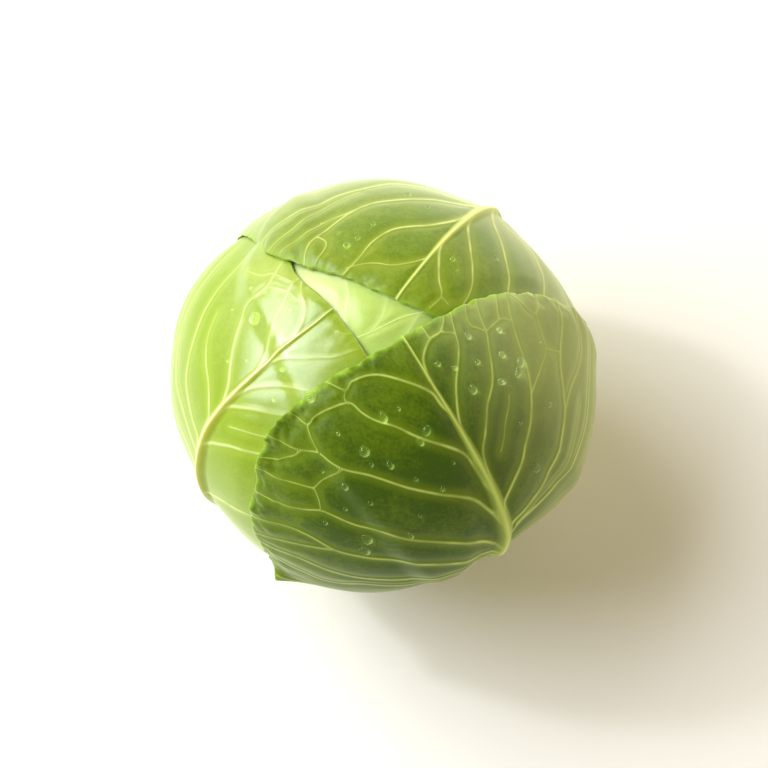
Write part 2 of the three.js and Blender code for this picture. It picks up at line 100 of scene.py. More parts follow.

# The wrapper leaves, from the innermost out, drawn flat in millimetres: x across the leaf, y along it from
# the stem at -115 over the crown at +133. left_reach and right_reach are the distances from the leaf's
# middle to its edge, every 15 degrees from the stem up the left side, and from the tip down the right side.
# midrib holds (along, across) places. veins are the lateral veins, each as (across, along) places from the
# midrib to the edge, branches leave them, and links join two of them. azimuth is where the leaf faces, in
# degrees. Shape: rib, rib_width, vein_rise and quilt are shares of the usual height or width, keel is the
# height of the swelling along the midrib and ruffle how deep the edge is cut, in millimetres, and flap and
# frill are the degrees from the tip where the edge is torn and most crumpled. Finish: net, vein_paleness,
# the edge's strength, bloom and the film are strengths from 0 to 1, where bloom is the sheen of the wax. The
# edge's strength paints the edge's own paler green with painted light glowing through it, and the film is
# paint, partly wax and partly painted sheen, that is full 40 mm below the height pale_below. The crest's
# shift moves the midrib's pale line across it towards the side that faces the light, a painted highlight.
# The pale side is painted sheen on the right half, and the fold value is where a painted highlight starts.
LEAVES = [
    {
        "name": "leaf_inner",
        "azimuth": 12,
        "rib": 0.6,
        "vein_rise": 0.7,
        "keel": 1.8,
        "ruffle": 0.6,
        "quilt": 1.2,
        "net": 0.0,
        "roughness": 0.34,
        "coat": 0.25,
        "vein_paleness": 0.4,
        "bloom": 0.3,
        "painted_fold_highlight": 148.4,
        "edge_glow_paint": 0.2,
        "painted_highlight_shift": 0,
        "rib_width": 1.0,
        "specular": 0.5,
        "painted_sheen_side": 0.0,
        "left_reach": [114, 116, 112, 110, 110, 112, 117, 126, 136, 148, 158, 164],
        "right_reach": [168, 172, 176, 168, 148, 129, 118, 112, 110, 110, 112, 116],
        "midrib": [(-115, 0), (0, 0), (118, 2), (143, -7), (170, -10)],
        "veins": [
            [(-5, 138), (2, 133), (11, 129), (18, 126), (34, 120)],
            [(-8, 152), (10, 148), (21, 145), (29, 142), (38, 139), (47, 136), (66, 126)],
            [(3, 100), (18, 112), (38, 116)],
            [(3, 60), (30, 78), (64, 90)],
            [(2, 20), (36, 40), (84, 54)],
            [(1, -20), (44, -12), (98, -8)],
            [(1, 92), (-16, 104), (-34, 110)],
            [(0, 116), (-16, 124), (-32, 128)],
            [(2, 62), (-28, 78), (-60, 92)],
            [(1, 22), (-36, 40), (-84, 52)],
            [(0, -20), (-44, -12), (-98, -8)],
        ],
        "branches": [],
        "links": [],
    },
    {
        "name": "leaf_left",
        "azimuth": -148,
        "rib": 0.6,
        "vein_rise": 0.55,
        "keel": 0.6,
        "ruffle": 0.7,
        "quilt": 0.4,
        "net": 0.0,
        "roughness": 0.34,
        "coat": 1.0,
        "vein_paleness": 0.6,
        "bloom": 0.42,
        "pale_below": 118.0,
        "wax_and_sheen_film": 0.12,
        "edge_glow_paint": 0.3,
        "painted_highlight_shift": 0.3,
        "rib_width": 0.8,
        "specular": 0.28,
        "painted_sheen_side": 0.0,
        "left_reach": [114, 119, 121, 122, 126, 131, 134, 134, 130, 124, 117.5, 120],
        "right_reach": [121, 122, 122, 120, 116, 112, 108, 104, 103, 106, 110, 115],
        "midrib": [(-115, 0), (-50, 4), (0, 2), (18, -5), (39, -11), (71, -15), (105, -20), (122, -26)],
        "veins": [
            [(-18, 94), (-25, 102), (-33, 105), (-46, 104), (-58, 105)],
            [(-15, 72), (-20, 80), (-26, 85), (-34, 90), (-43, 96), (-52, 100), (-60, 108)],
            [(-13, 50), (-19, 58), (-26, 62), (-35, 66), (-45, 71), (-52, 74), (-54, 80), (-58, 87),
             (-67, 91), (-82, 96)],
            [(-12, 34), (-14, 41), (-20, 45), (-28, 48), (-37, 49), (-48, 51), (-58, 56)],
            [(-9, 20), (-13, 28), (-20, 29), (-28, 30), (-37, 32), (-43, 35), (-54, 42), (-63, 47),
             (-73, 54), (-82, 62), (-104, 76)],
            [(-6, 14), (-11, 21), (-20, 22), (-32, 22), (-43, 21), (-56, 24), (-62, 27), (-73, 33),
             (-84, 40), (-122, 54)],
            [(-3, 8), (-14, 13), (-29, 11), (-45, 8), (-54, 13), (-64, 21), (-84, 28), (-132, 36)],
            [(2, 0), (-16, 2), (-44, -6), (-84, -2), (-132, 6)],
            [(4, -12), (-20, -16), (-60, -26), (-124, -28)],
            [(4, -34), (-20, -46), (-56, -62), (-104, -68)],
            [(-15, 76), (-15, 84), (-11, 91), (-7, 96), (-1, 103), (4, 109), (8, 118)],
            [(-13, 60), (-11, 69), (-5, 78), (1, 84), (6, 88), (20, 98)],
            [(-12, 48), (-11, 55), (-7, 60), (-2, 65), (6, 71), (20, 82), (44, 98)],
            [(-10, 26), (-6, 35), (-2, 40), (2, 44), (7, 48), (14, 53), (32, 66), (64, 86)],
            [(0, 3), (6, 9), (12, 14), (23, 20), (50, 34), (92, 50)],
            [(4, -8), (30, -2), (60, 0), (102, -2)],
            [(4, -34), (26, -44), (56, -58), (80, -66)],
        ],
        "branches": [
            [(-4, 50), (1, 54), (8, 59), (24, 70)],
        ],
        "links": [
            [(-73, 72), (-66, 82), (-65, 87), (-61, 92), (-53, 100)],
            [(-56, 88), (-53, 92), (-47, 98), (-40, 102)],
            [(-9, 115), (-4, 118), (-3, 121)],
        ],
    },
    {
        "name": "leaf_rear",
        "azimuth": 56,
        "rib": 0.65,
        "vein_rise": 0.9,
        "keel": 1.6,
        "ruffle": 0.8,
        "quilt": 1.0,
        "net": 0.0,
        "roughness": 0.42,
        "coat": 0.1,
        "vein_paleness": 0.85,
        "bloom": 0.62,
        "pale_below": 140.0,
        "wax_and_sheen_film": 0.31,
        "edge_glow_paint": 0.5,
        "painted_highlight_shift": 0,
        "rib_width": 0.85,
        "specular": 0.3,
        "painted_sheen_side": 0.0,
        "left_reach": [114, 116, 111, 107, 106, 108, 112, 115, 117, 118, 117, 118],
        "right_reach": [121, 123.5, 127.5, 129, 122, 118, 115, 113, 113, 115, 117, 118],
        "midrib": [(-115, 0), (0, 0), (122, 0)],
        "veins": [
            [(0, 52), (2, 60), (5, 68), (11, 76), (18, 81), (26, 87), (32, 97), (34, 106), (38, 116)],
            [(1, 36), (8, 46), (18, 53), (24, 58), (32, 63), (43, 69), (52, 78), (60, 88), (63, 93),
             (66, 100), (66, 109)],
            [(1, 28), (6, 35), (14, 36), (22, 37), (29, 41), (41, 46), (50, 53), (62, 60), (72, 67),
             (84, 72), (104, 80)],
            [(1, 20), (14, 22), (34, 24), (60, 34), (90, 42), (116, 36)],
            [(1, 14), (20, 8), (50, 8), (84, 12), (114, 6)],
            [(1, -8), (24, -14), (58, -18), (110, -22)],
            [(1, -34), (24, -46), (60, -60), (88, -66)],
            [(0, 82), (-2, 88), (-8, 96), (-13, 101), (-20, 106), (-20, 114)],
            [(0, 50), (-2, 61), (-6, 68), (-15, 78), (-20, 83), (-27, 90), (-30, 95), (-33, 104)],
            [(-1, 27), (-4, 36), (-8, 44), (-18, 54), (-24, 60), (-30, 65), (-37, 71), (-47, 84),
             (-54, 98)],
            [(-1, 22), (-8, 30), (-16, 28), (-24, 31), (-33, 37), (-41, 43), (-48, 51), (-66, 70),
             (-84, 78)],
            [(-1, 12), (-16, 14), (-36, 20), (-60, 34), (-98, 50)],
            [(-1, 2), (-20, 0), (-50, 6), (-108, 18)],
            [(-1, -10), (-24, -16), (-58, -20), (-106, -20)],
            [(-1, -34), (-24, -46), (-58, -60), (-80, -68)],
        ],
        "branches": [
            [(1, 96), (6, 101), (14, 106), (26, 108), (38, 113)],
            [(63, 93), (57, 97), (56, 103), (58, 110)],
        ],
        "links": [
            [(52, 58), (60, 65), (67, 71), (73, 78), (78, 83), (90, 90)],
            [(45, 71), (53, 77), (62, 81), (67, 87), (73, 92), (82, 96)],
            [(-20, 106), (-26, 106)],
        ],
    },
    {
        "name": "leaf_front",
        "azimuth": -55,
        "rib": 0.8,
        "vein_rise": 1.2,
        "keel": 0.6,
        "flap": -101,
        "frill": -45,
        "ruffle": 2.0,
        "quilt": 1.0,
        "net": 0.03,
        "roughness": 0.48,
        "coat": 0.0,
        "vein_paleness": 0.85,
        "bloom": 0.5,
        "edge_glow_paint": 1.0,
        "painted_highlight_shift": 0,
        "rib_width": 0.85,
        "specular": 0.18,
        "painted_sheen_side": 0.42,
        "left_reach": [114, 116, 111, 104, 98, 96, 102, 112, 120, 128, 128, 125.5],
        "right_reach": [123.5, 123, 121.5, 118, 112, 108, 104, 101, 101, 105, 111, 116],
        "midrib": [(-115, 0), (0, -1), (25, 2), (95, 3), (108, 4), (124, 6)],
        "veins": [
            [(4, 103), (8, 109), (17, 113), (25, 112), (31, 114), (38, 118)],
            [(2, 62), (3, 73), (6, 81), (11, 88), (18, 95), (23, 99), (28, 103), (31, 107), (36, 112),
             (45, 117)],
            [(1, 32), (3, 44), (5, 56), (7, 62), (12, 67), (20, 75), (28, 81), (33, 85), (39, 91),
             (44, 95), (50, 102), (60, 108)],
            [(1, 24), (4, 34), (11, 40), (19, 45), (26, 51), (33, 58), (40, 64), (47, 71), (53, 79),
             (59, 85), (65, 89), (78, 94)],
            [(1, 14), (6, 21), (12, 22), (19, 24), (25, 26), (31, 30), (40, 37), (49, 43), (57, 50),
             (63, 54), (70, 56), (82, 56), (102, 58)],
            [(1, 10), (8, 17), (20, 17), (32, 16), (45, 19), (57, 21), (68, 25), (80, 25), (101, 22)],
            [(1, 3), (9, 4), (23, -2), (38, -7), (56, -9), (100, -11)],
            [(0, -10), (20, -20), (50, -32), (92, -38)],
            [(0, -36), (20, -48), (50, -62), (74, -70)],
            [(1, 88), (0, 95), (-8, 104), (-22, 113), (-35, 113), (-40, 110), (-47, 114), (-54, 118)],
            [(1, 48), (0, 58), (-1, 65), (-6, 72), (-16, 81), (-24, 89), (-33, 95), (-37, 99), (-41, 104),
             (-52, 103), (-61, 100), (-67, 96), (-80, 104)],
            [(1, 26), (-2, 36), (-8, 48), (-19, 56), (-30, 63), (-44, 72), (-55, 76), (-60, 79), (-65, 83),
             (-75, 83), (-86, 86), (-98, 90)],
            [(-1, 8), (-6, 17), (-14, 26), (-26, 34), (-37, 39), (-46, 44), (-56, 47), (-66, 52),
             (-71, 54), (-79, 53), (-92, 52), (-107, 52)],
            [(-1, 3), (-12, 10), (-26, 19), (-39, 24), (-47, 26), (-58, 29), (-68, 32), (-78, 38),
             (-86, 40), (-96, 38), (-106, 34)],
            [(-1, 0), (-14, 3), (-35, 7), (-52, 10), (-62, 12), (-72, 15), (-84, 19), (-95, 18),
             (-103, 17)],
            [(-1, -4), (-20, -4), (-40, 0), (-58, 4), (-68, 1), (-76, 1), (-84, 5), (-100, 7)],
            [(-1, -14), (-24, -24), (-52, -22), (-94, -14)],
            [(-1, -36), (-20, -50), (-48, -64), (-70, -70)],
        ],
        "branches": [
            [(17, 113), (18, 116), (20, 122)],
            [(40, 64), (46, 65), (54, 65), (64, 65), (67, 68), (72, 72), (75, 74), (74, 79), (76, 90)],
            [(50, 43), (57, 44), (63, 43), (69, 41), (75, 39), (82, 38), (91, 41), (104, 40)],
            [(8, 18), (20, 20), (32, 20), (40, 24), (50, 29), (60, 33)],
            [(-74, 83), (-78, 80), (-83, 78), (-89, 75), (-97, 74)],
            [(-72, 65), (-80, 66), (-90, 66), (-106, 68)],
            [(-69, 32), (-79, 31), (-92, 28), (-104, 23)],
            [(56, 93), (60, 95), (70, 98)],
        ],
        "links": [
            [(25, 112), (29, 109), (31, 107)],
            [(45, 96), (43, 100), (41, 103), (44, 107), (51, 111)],
            [(45, 96), (49, 95), (57, 92), (61, 87)],
            [(64, 65), (66, 61), (69, 56)],
            [(75, 74), (83, 72), (94, 72)],
            [(14, 56), (19, 60), (25, 66), (31, 72)],
            [(-55, 76), (-63, 72), (-68, 69), (-72, 65)],
            [(-72, 65), (-71, 60), (-71, 54)],
            [(-67, 96), (-67, 91), (-65, 83)],
            [(-40, 110), (-43, 107), (-42, 104)],
        ],
    },
]

# Water drops as (across, along, radius) on the leaf that carries them, in millimetres.
DROPS = {
    "leaf_left": [
        (-42, 80, 2.9), (-35, 98, 1.0), (-53, 86, 0.8), (-8, 86, 1.2), (1, 75, 0.9), (-55, 66, 0.7),
        (-60, 78, 0.9), (-24, 72, 0.8), (-30, 62, 0.7), (22, 70, 0.9), (-47, 94, 0.8), (-20, 92, 0.7),
    ],
    "leaf_rear": [
        (44, 101, 1.9), (36, 86, 1.2), (30, 57, 1.2), (18, 64, 1.0), (-10, 88, 1.3), (-23, 68, 1.3),
        (-16, 91, 0.9), (52, 92, 0.9), (40, 96, 1.2), (56, 70, 0.8), (64, 82, 0.7), (-19, 64, 0.9),
    ],
    "leaf_front": [
        (-61, 109, 2.8), (-28, 95, 2.2), (-19, 96, 1.0), (-12, 83, 2.1), (-43, 83, 2.3), (-17, 80, 1.7),
        (-34, 75, 1.6), (-42, 77, 1.1), (-17, 58, 1.1), (-54, 40, 2.1), (-36, 41, 1.2), (24, 38, 1.9),
        (19, 85, 1.8), (32, 79, 1.5), (44, 54, 1.3), (-56, 33, 1.9), (-57, 68, 1.6), (35, 102, 1.6),
        (12, 103, 1.4), (29, 92, 1.3), (18, 97, 1.2), (42, 85, 1.5), (47, 76, 2.1), (42, 75, 2.0),
        (33, 78, 1.2), (51, 91, 1.3), (-48, 60, 1.0), (-30, 50, 0.9), (-26, 66, 1.0), (-60, 56, 0.9),
        (-70, 48, 1.0), (-66, 74, 0.9), (-52, 92, 1.0), (28, 60, 0.8), (-8, 66, 0.8), (64, 70, 0.9),
    ],
}

# A drop is drawn larger by its swell. Its dome stands up and its foot sinks in by these shares of its
# radius.
DROP_RINGS = 14
DROP_SIDES = 24
DROP_SWELL = 1.15
DROP_DOME = 0.75
DROP_FOOT = 0.12
# The painted glow of each drop lies along this direction, away from the window, with its strength on each leaf.
AWAY_FROM_LIGHT = np.array([0.72, -0.58, -0.38])
GATHERED = {"leaf_left": 0, "leaf_rear": 0.6, "leaf_front": 1}

# The stem's side, as (share of its radius, height in millimetres), from the cut up.
STEM_PROFILE = [
    (0.35, 0), (0.7, 0), (0.88, 0), (0.935, 0.35), (0.95, 1.2), (0.96, 2.4), (0.99, 4), (1, 5.4), (0.97, 7.4),
]

# The window and its bright pane stand here, in metres: each as its name, width and height. The camera
# frames the head so that its middle is 4 pixels left of the picture's and 3 below.
WINDOW_PLACE = (-1.33, 0.47, 1.34)
WINDOW_TARGET = np.array([0, 0, 0.07])
WINDOW_SIZE = ("window", 2.0, 1.5)
PANE_SIZE = ("pane", 0.16, 0.2)
DAYLIGHT = 0xF6FAFF
FLOOR_HALF = 4.0
PIXEL = 0.4 * MM
FRAMING = (4, 3)


def linear(code):
    """The linear red, green and blue of an sRGB hex colour."""
    parts = [(code >> shift & 255) / 255 for shift in (16, 8, 0)]
    return tuple(p / 12.92 if p <= 0.04045 else ((p + 0.055) / 1.055) ** 2.4 for p in parts)


def colour(name, description, code):
    """A colour that a user can change."""
    return FloatVectorProperty(
        name=name, description=description, default=linear(code), subtype="COLOR", min=0, max=1
    )


def length(name, description, millimetres):
    """A length that a user can change, in metres."""
    return FloatProperty(
        name=name, description=description, default=millimetres * MM, unit="LENGTH", precision=5
    )


class CabbageShape(PropertyGroup):
    """The head's sizes."""

    heart_radius: length("Heart radius", "Half the width of the tight inner head", 80)
    heart_crown: length("Heart crown", "Height of the heart above its centre", 69)
    heart_base: length("Heart base", "Depth of the heart below its centre", 65)
    blade: length("Blade", "Thickness of a leaf between its veins", 0.9)
    vein: length("Vein height", "How far a lateral vein stands above the blade", 0.6)
    quilting: length("Quilting", "How far the blade swells between its veins", 0.7)
    pucker: length("Pucker", "How far the blade is crumpled near its edge", 0.7)
    wave: length("Edge wave", "How far a free edge waves off the leaf below", 0.6)
    flap: length("Torn flap", "How far a torn piece of the front leaf's edge stands up", 7.5)


class CabbageColours(PropertyGroup):
    """The colours of the leaves, the stem and the stage."""

    leaf_inner_panel: colour("Inner leaf", "Blade of the inner leaf", 0xB4CE72)
    leaf_inner_dark: colour("Inner leaf, dark", "Darker blotches of the inner leaf", 0xA8C45C)
    leaf_inner_vein: colour("Inner leaf, veins", "Veins of the inner leaf", 0xDCEBA0)
    leaf_inner_rib: colour("Inner leaf, midrib", "Sides of the inner leaf's midrib", 0xA9C557)
    leaf_left_panel: colour("Left leaf", "Blade of the left leaf", 0x90A82C)
    leaf_left_dark: colour("Left leaf, dark", "Darker blotches of the left leaf", 0x7E9A18)
    leaf_left_vein: colour("Left leaf, veins", "Veins of the left leaf", 0xD8E6A0)
    leaf_left_rib: colour("Left leaf, midrib", "Sides of the left leaf's midrib", 0x9FA32A)
    leaf_rear_panel: colour("Rear leaf", "Blade of the rear leaf", 0x7D921A)
    leaf_rear_dark: colour("Rear leaf, dark", "Darker blotches of the rear leaf", 0x587608)
    leaf_rear_vein: colour("Rear leaf, veins", "Veins of the rear leaf", 0xD8E490)
    leaf_rear_rib: colour("Rear leaf, midrib", "Sides of the rear leaf's midrib", 0xBBCC58)
    leaf_front_panel: colour("Front leaf", "Blade of the front leaf", 0x647C06)
    leaf_front_dark: colour("Front leaf, dark", "Darker blotches of the front leaf", 0x385400)
    leaf_front_vein: colour("Front leaf, veins", "Veins of the front leaf", 0xC0D470)
    leaf_front_rib: colour("Front leaf, midrib", "Sides of the front leaf's midrib", 0x9AAE44)
    # The edge's own paler green with painted light glowing through the thin edge.
    edge: colour("Leaf edge", "Thin bright edge of a leaf", 0x8CB41E)
    # Also the colour of the film painted down the head's sides, which is partly painted sheen.
    bloom: colour("Bloom", "Pale wax that shows where a leaf is seen at a slant", 0xDCE6BA)
    # Painted sheen: a pale reflection of the bright room painted on the front leaf's right half, and the
    # painted highlight past leaf_inner's fold.
    painted_sheen: colour("Haze", "Thin wax on the right half of the front leaf", 0xC6D290)
    heart: colour("Heart", "Blanched inner leaves", 0xDCE7A6)
    stem: colour("Stem", "Cut flesh of the stem", 0xE9E4C0)
    floor: colour("Floor", "Pale floor", 0xF4F3F1)
    surround: colour("Surround", "Warm light from the room", 0xFFEDC4)


class CabbageStage(PropertyGroup):
    """The light and the camera."""

    key: FloatProperty(
        name="Window", description="Large soft window at the rear left", default=58, unit="POWER"
    )
    glint: FloatProperty(
        name="Pane", description="Small bright pane in the window", default=9, unit="POWER"
    )
    low: FloatProperty(
        name="Horizon", description="Brightness of the room at the right and rear", default=2.1, min=0
    )
    high: FloatProperty(name="Zenith", description="Brightness of the room overhead", default=0.1, min=0)
    front: FloatProperty(
        name="Front", description="Share of the light that the room's front gives", default=0.38, min=0
    )
    distance: length("Camera distance", "From the head's centre to the camera", 1000)
    elevation: FloatProperty(
        name="Elevation",
        description="Camera's height above the horizon",
        default=math.radians(70),
        subtype="ANGLE",
    )


# The flat drawing of a leaf


def smooth(low, high, value):
    """0 below low, 1 above high, and a smooth step between them."""
    t = np.clip((value - low) / (high - low), 0, 1)
    return t * t * (3 - 2 * t)


def curve_through(pairs, place):
    """A smooth curve through (place, value) pairs."""
    xs, ys = np.array(pairs, float).T
    ends = np.arange(len(xs))
    before, after = np.maximum(ends - 1, 0), np.minimum(ends + 1, len(xs) - 1)
    slope = (ys[after] - ys[before]) / (xs[after] - xs[before])
    i = np.clip(np.searchsorted(xs, place) - 1, 0, len(xs) - 2)
    span = xs[i + 1] - xs[i]
    t = np.clip((place - xs[i]) / span, 0, 1)
    bend = t * (1 - t) * span * ((1 - t) * slope[i] - t * slope[i + 1])
    return ys[i] + (ys[i + 1] - ys[i]) * t * t * (3 - 2 * t) + bend


def noise(x, y, seed):
    """Smooth random hills from -1 to 1, one unit apart."""
    cell_x, cell_y = np.floor(x), np.floor(y)
    u, v = smooth(0, 1, x - cell_x), smooth(0, 1, y - cell_y)

    def corner(i, j):
        s = np.sin((cell_x + i) * 127.1 + (cell_y + j) * 311.7 + seed * 74.7) * 43758.5453
        return 2 * (s - np.floor(s)) - 1

    low = corner(0, 0) * (1 - u) + corner(1, 0) * u
    high = corner(0, 1) * (1 - u) + corner(1, 1) * u
    return low * (1 - v) + high * v


def reach_at(leaf, degrees):
    """Distance from the leaf's middle to its edge, at an angle in degrees from the tip."""
    reach = np.array(leaf["left_reach"] + leaf["right_reach"], float)
    place = (degrees + 180) / 360 * len(reach) % len(reach)
    i = np.floor(place).astype(int)
    t = place - i
    a, b, c, d = (reach[(i + k) % len(reach)] for k in (-1, 0, 1, 2))
    return b + 0.5 * t * (c - a + t * (2 * a - 5 * b + 4 * c - d + t * (3 * (b - c) + d - a)))


def angle_of(p):
    """The angle of flat points from the tip, in degrees."""
    return np.degrees(np.arctan2(p[:, 0], p[:, 1]))


def beyond_edge(leaf, p):
    """How far flat points lie outside the leaf's edge: less than zero inside."""
    return np.hypot(p[:, 0], p[:, 1]) - reach_at(leaf, angle_of(p))


def edge_cuts(leaf, degrees):
    """How deep the edge is cut at an angle: teeth of 3 to 12 mm on wider bays, and none where it clasps the
    stem."""
    seed = leaf["azimuth"]
    teeth = 0.5 + 0.5 * noise(degrees / 2.1, 0.5, seed)
    bays = 0.5 + 0.5 * noise(degrees / 7.5, 7.5, seed)
    return leaf["ruffle"] * (teeth + 0.9 * bays) * smooth(8, 40, 180 - np.abs(degrees))


def flat_grid(leaf):
    """The flat points of a leaf's grid: a square eased into a disc and stretched to the leaf's edge."""
    side = np.linspace(-1, 1, OUTER_CELLS + 1)
    u, v = (g.ravel() for g in np.meshgrid(side, side, indexing="ij"))
    u = np.where((u == 0) & (v == 0), 1e-9, u)
    wide = np.abs(u) >= np.abs(v)
    with np.errstate(divide="ignore"):
        turn = np.where(wide, 45 * v / u + np.where(u < 0, 180, 0), 90 - 45 * u / v + np.where(v < 0, 180, 0))
    degrees = (270 - turn) % 360 - 180
    share = np.maximum(np.abs(u), np.abs(v))
    reach = share * reach_at(leaf, degrees) - share**12 * edge_cuts(leaf, degrees)
    angle = np.radians(degrees)
    return np.stack([np.sin(angle) * reach, np.cos(angle) * reach], axis=1)


def midrib_x(leaf, y):
    return curve_through(leaf["midrib"], y)


def rib_half_width(leaf, y):
    widths = [(-115, 8.5), (-40, 6.4), (12, 4.0), (60, 2.5), (100, 1.3), (170, 0.8)]
    return leaf["rib_width"] * curve_through(widths, y)


def rib_height(leaf, y):
    heights = [(-115, 2.2), (-30, 3.2), (12, 4.2), (35, 2.9), (70, 1.7), (105, 0.9), (170, 0.6)]
    return leaf["rib"] * curve_through(heights, y)


def blade_thickness(leaf, p, blade):
    """The blade's thickness, which grows towards the midrib's foot."""
    beside = (p[:, 0] - midrib_x(leaf, p[:, 1])) / 24
    return blade + BASE_THICKENING * np.exp(-beside * beside) * smooth(30, -100, p[:, 1])


def keel_height(leaf, p):
    """A broad swelling of the whole leaf along its midrib, which the leaves above it follow."""
    beside = (p[:, 0] - midrib_x(leaf, p[:, 1])) / 10
    along = curve_through([(-115, 0), (-70, 0.3), (8, 1), (45, 0.55), (90, 0.2), (170, 0)], p[:, 1])
    return leaf["keel"] * np.exp(-beside * beside) * along


# The veins

VEIN_KINDS = {"veins": (0.8, 0.3), "branches": (0.4, 0.22), "links": (0.3, 0.26)}
FIELD_REACH = 9.0
PANEL_REACH = 7.5


def vein_lines(leaf):
    """Every vein of a leaf as its points and half widths: smooth through its places, and slightly wavy. The
    lateral veins leave the midrib 4 mm below their first place."""
    for kind, (start, end) in VEIN_KINDS.items():
        for number, places in enumerate(leaf[kind]):
            if kind == "veins":
                foot = places[0][1] - 4
                places = [(midrib_x(leaf, foot), foot), *places]
            places = np.array(places, float)
            steps = np.hypot(*np.diff(places, axis=0).T)
            along = np.concatenate([[0], np.cumsum(steps)])
            at = np.linspace(0, along[-1], max(4, int(along[-1] / 1.6)))
            x = curve_through(np.stack([along, places[:, 0]], axis=1), at)
            y = curve_through(np.stack([along, places[:, 1]], axis=1), at)
            share = at / along[-1]
            sway = 0.2 * np.sin(np.pi * share)
            x = x + sway * noise(at / 7, 0.5, number)
            y = y + sway * noise(at / 7, 9.5, number)
            yield np.stack([x, y], axis=1), start + (end - start) * share**0.7


def vein_field(leaf, p):
    """For flat points: the distance to the nearest vein, the same with a sign for its side, and its half
    width."""
    gap = np.full(len(p), FIELD_REACH)
    signed = np.full(len(p), FIELD_REACH)
    half = np.full(len(p), 0.4)
    for line, widths in vein_lines(leaf):
        low, high = line.min(axis=0) - FIELD_REACH, line.max(axis=0) + FIELD_REACH
        near = np.nonzero(np.all((p > low) & (p < high), axis=1))[0]
        for a, b, width in zip(line[:-1], line[1:], widths):
            along = b - a
            from_a = p[near] - a
            share = np.clip(from_a @ along / (along @ along), 0, 1)
            off = from_a - share[:, None] * along
            distance = np.hypot(off[:, 0], off[:, 1])
            closer = distance < gap[near]
            chosen = near[closer]
            side = np.sign(along[0] * from_a[closer, 1] - along[1] * from_a[closer, 0])
            gap[chosen] = distance[closer]
            signed[chosen] = side * distance[closer]
            half[chosen] = width
    return gap, signed, half


# The wrapping of flat leaves over the head


def leaf_frame(leaf):
    angle = math.radians(leaf["azimuth"])
    out = np.array([math.cos(angle), math.sin(angle), 0])
    up = np.array([0.0, 0, 1])
    return out, np.cross(up, out), up


def direction_of(leaf, p):
    """The directions from the head's centre to flat points of a leaf."""
    out, across, up = leaf_frame(leaf)
    distance = np.maximum(np.hypot(p[:, 0], p[:, 1]), 1e-9)
    tilt = distance / UNROLLED_RADIUS
    sideways = (p[:, :1] * across + p[:, 1:] * up) / distance[:, None]
    return np.cos(tilt)[:, None] * out + np.sin(tilt)[:, None] * sideways


def flat_of(leaf, direction):
    """The flat points of a leaf that lie in the given directions."""
    out, across, up = leaf_frame(leaf)
    tilt = np.arccos(np.clip(direction @ out, -1, 1))
    x, y = direction @ across, direction @ up
    scale = tilt * UNROLLED_RADIUS / np.maximum(np.hypot(x, y), 1e-9)
    return np.stack([x * scale, y * scale], axis=1)


def heart_radius(shape, direction):
    """The heart is flatter above and below than it is wide, with soft lumps of the leaves packed in it."""
    x, y, z = direction.T
    upright = z * MM / np.where(z > 0, shape.heart_crown, shape.heart_base)
    level = np.hypot(x, y) * MM / shape.heart_radius
    radius = 1 / np.hypot(level, upright)
    radius += HEART_LUMPS * np.sin(2.1 * x + 2.9 * y + 1.1) * np.cos(2.3 * z - 1.7 * x)
    for azimuth, elevation, height, spread in SWELLS:
        turn, rise = math.radians(azimuth), math.radians(elevation)
        middle = (math.cos(rise) * math.cos(turn), math.cos(rise) * math.sin(turn), math.sin(rise))
        away = np.arccos(np.clip(direction @ middle, -1, 1)) * UNROLLED_RADIUS / spread
        radius += height * np.exp(-away * away)
    return radius


def stack_under(shape, level, direction, start=9, end=20):
    """The height above the heart of the leaves that lie under a leaf. It fades from start to end beyond
    their edges, in millimetres."""
    height = np.zeros(len(direction))
    for leaf in LEAVES[:level]:
        p = flat_of(leaf, direction)
        cover = 1 - smooth(start, end, beyond_edge(leaf, p))
        layer = LAYER_GAP + LAYER_ALLOWANCE + blade_thickness(leaf, p, shape.blade / MM) + keel_height(leaf, p)
        height += cover * layer
    return height


def exposure(level, direction):
    """1 where no leaf lies above, 0 where one does."""
    open_to_air = np.ones(len(direction))
    for leaf in LEAVES[level + 1 :]:
        open_to_air *= smooth(0, 9, beyond_edge(leaf, flat_of(leaf, direction)))
    return open_to_air


def flap_share(leaf, p):
    """1 at the middle of the leaf's torn flap, fading to 0 beside it."""
    if "flap" not in leaf:
        return np.zeros(len(p))
    angle = math.radians(leaf["flap"])
    distance = np.hypot(p[:, 0], p[:, 1])
    middle = distance[:, None] * np.array([math.sin(angle), math.cos(angle)])
    beside = np.hypot(*(p - middle).T) / FLAP_HALF_WIDTH
    torn_end = smooth(leaf["flap"] - FLAP_END[0], leaf["flap"] - FLAP_END[1], angle_of(p))
    return np.exp(-beside * beside) * torn_end


def edge_lift(shape, leaf, p, open_to_air):
    """How far a free edge stands off the leaf below, in waves and at a flap."""
    angle = np.radians(angle_of(p))
    wave = 0.5 + 0.5 * np.sin(23 * angle + 2.2 * np.sin(3 * angle + leaf["azimuth"]))
    wave *= smooth(150, 120, np.abs(angle_of(p)))
    near = np.exp(np.minimum(beyond_edge(leaf, p), 0) / 7)
    return (shape.wave * wave + shape.flap * flap_share(leaf, p)) / MM * near * open_to_air


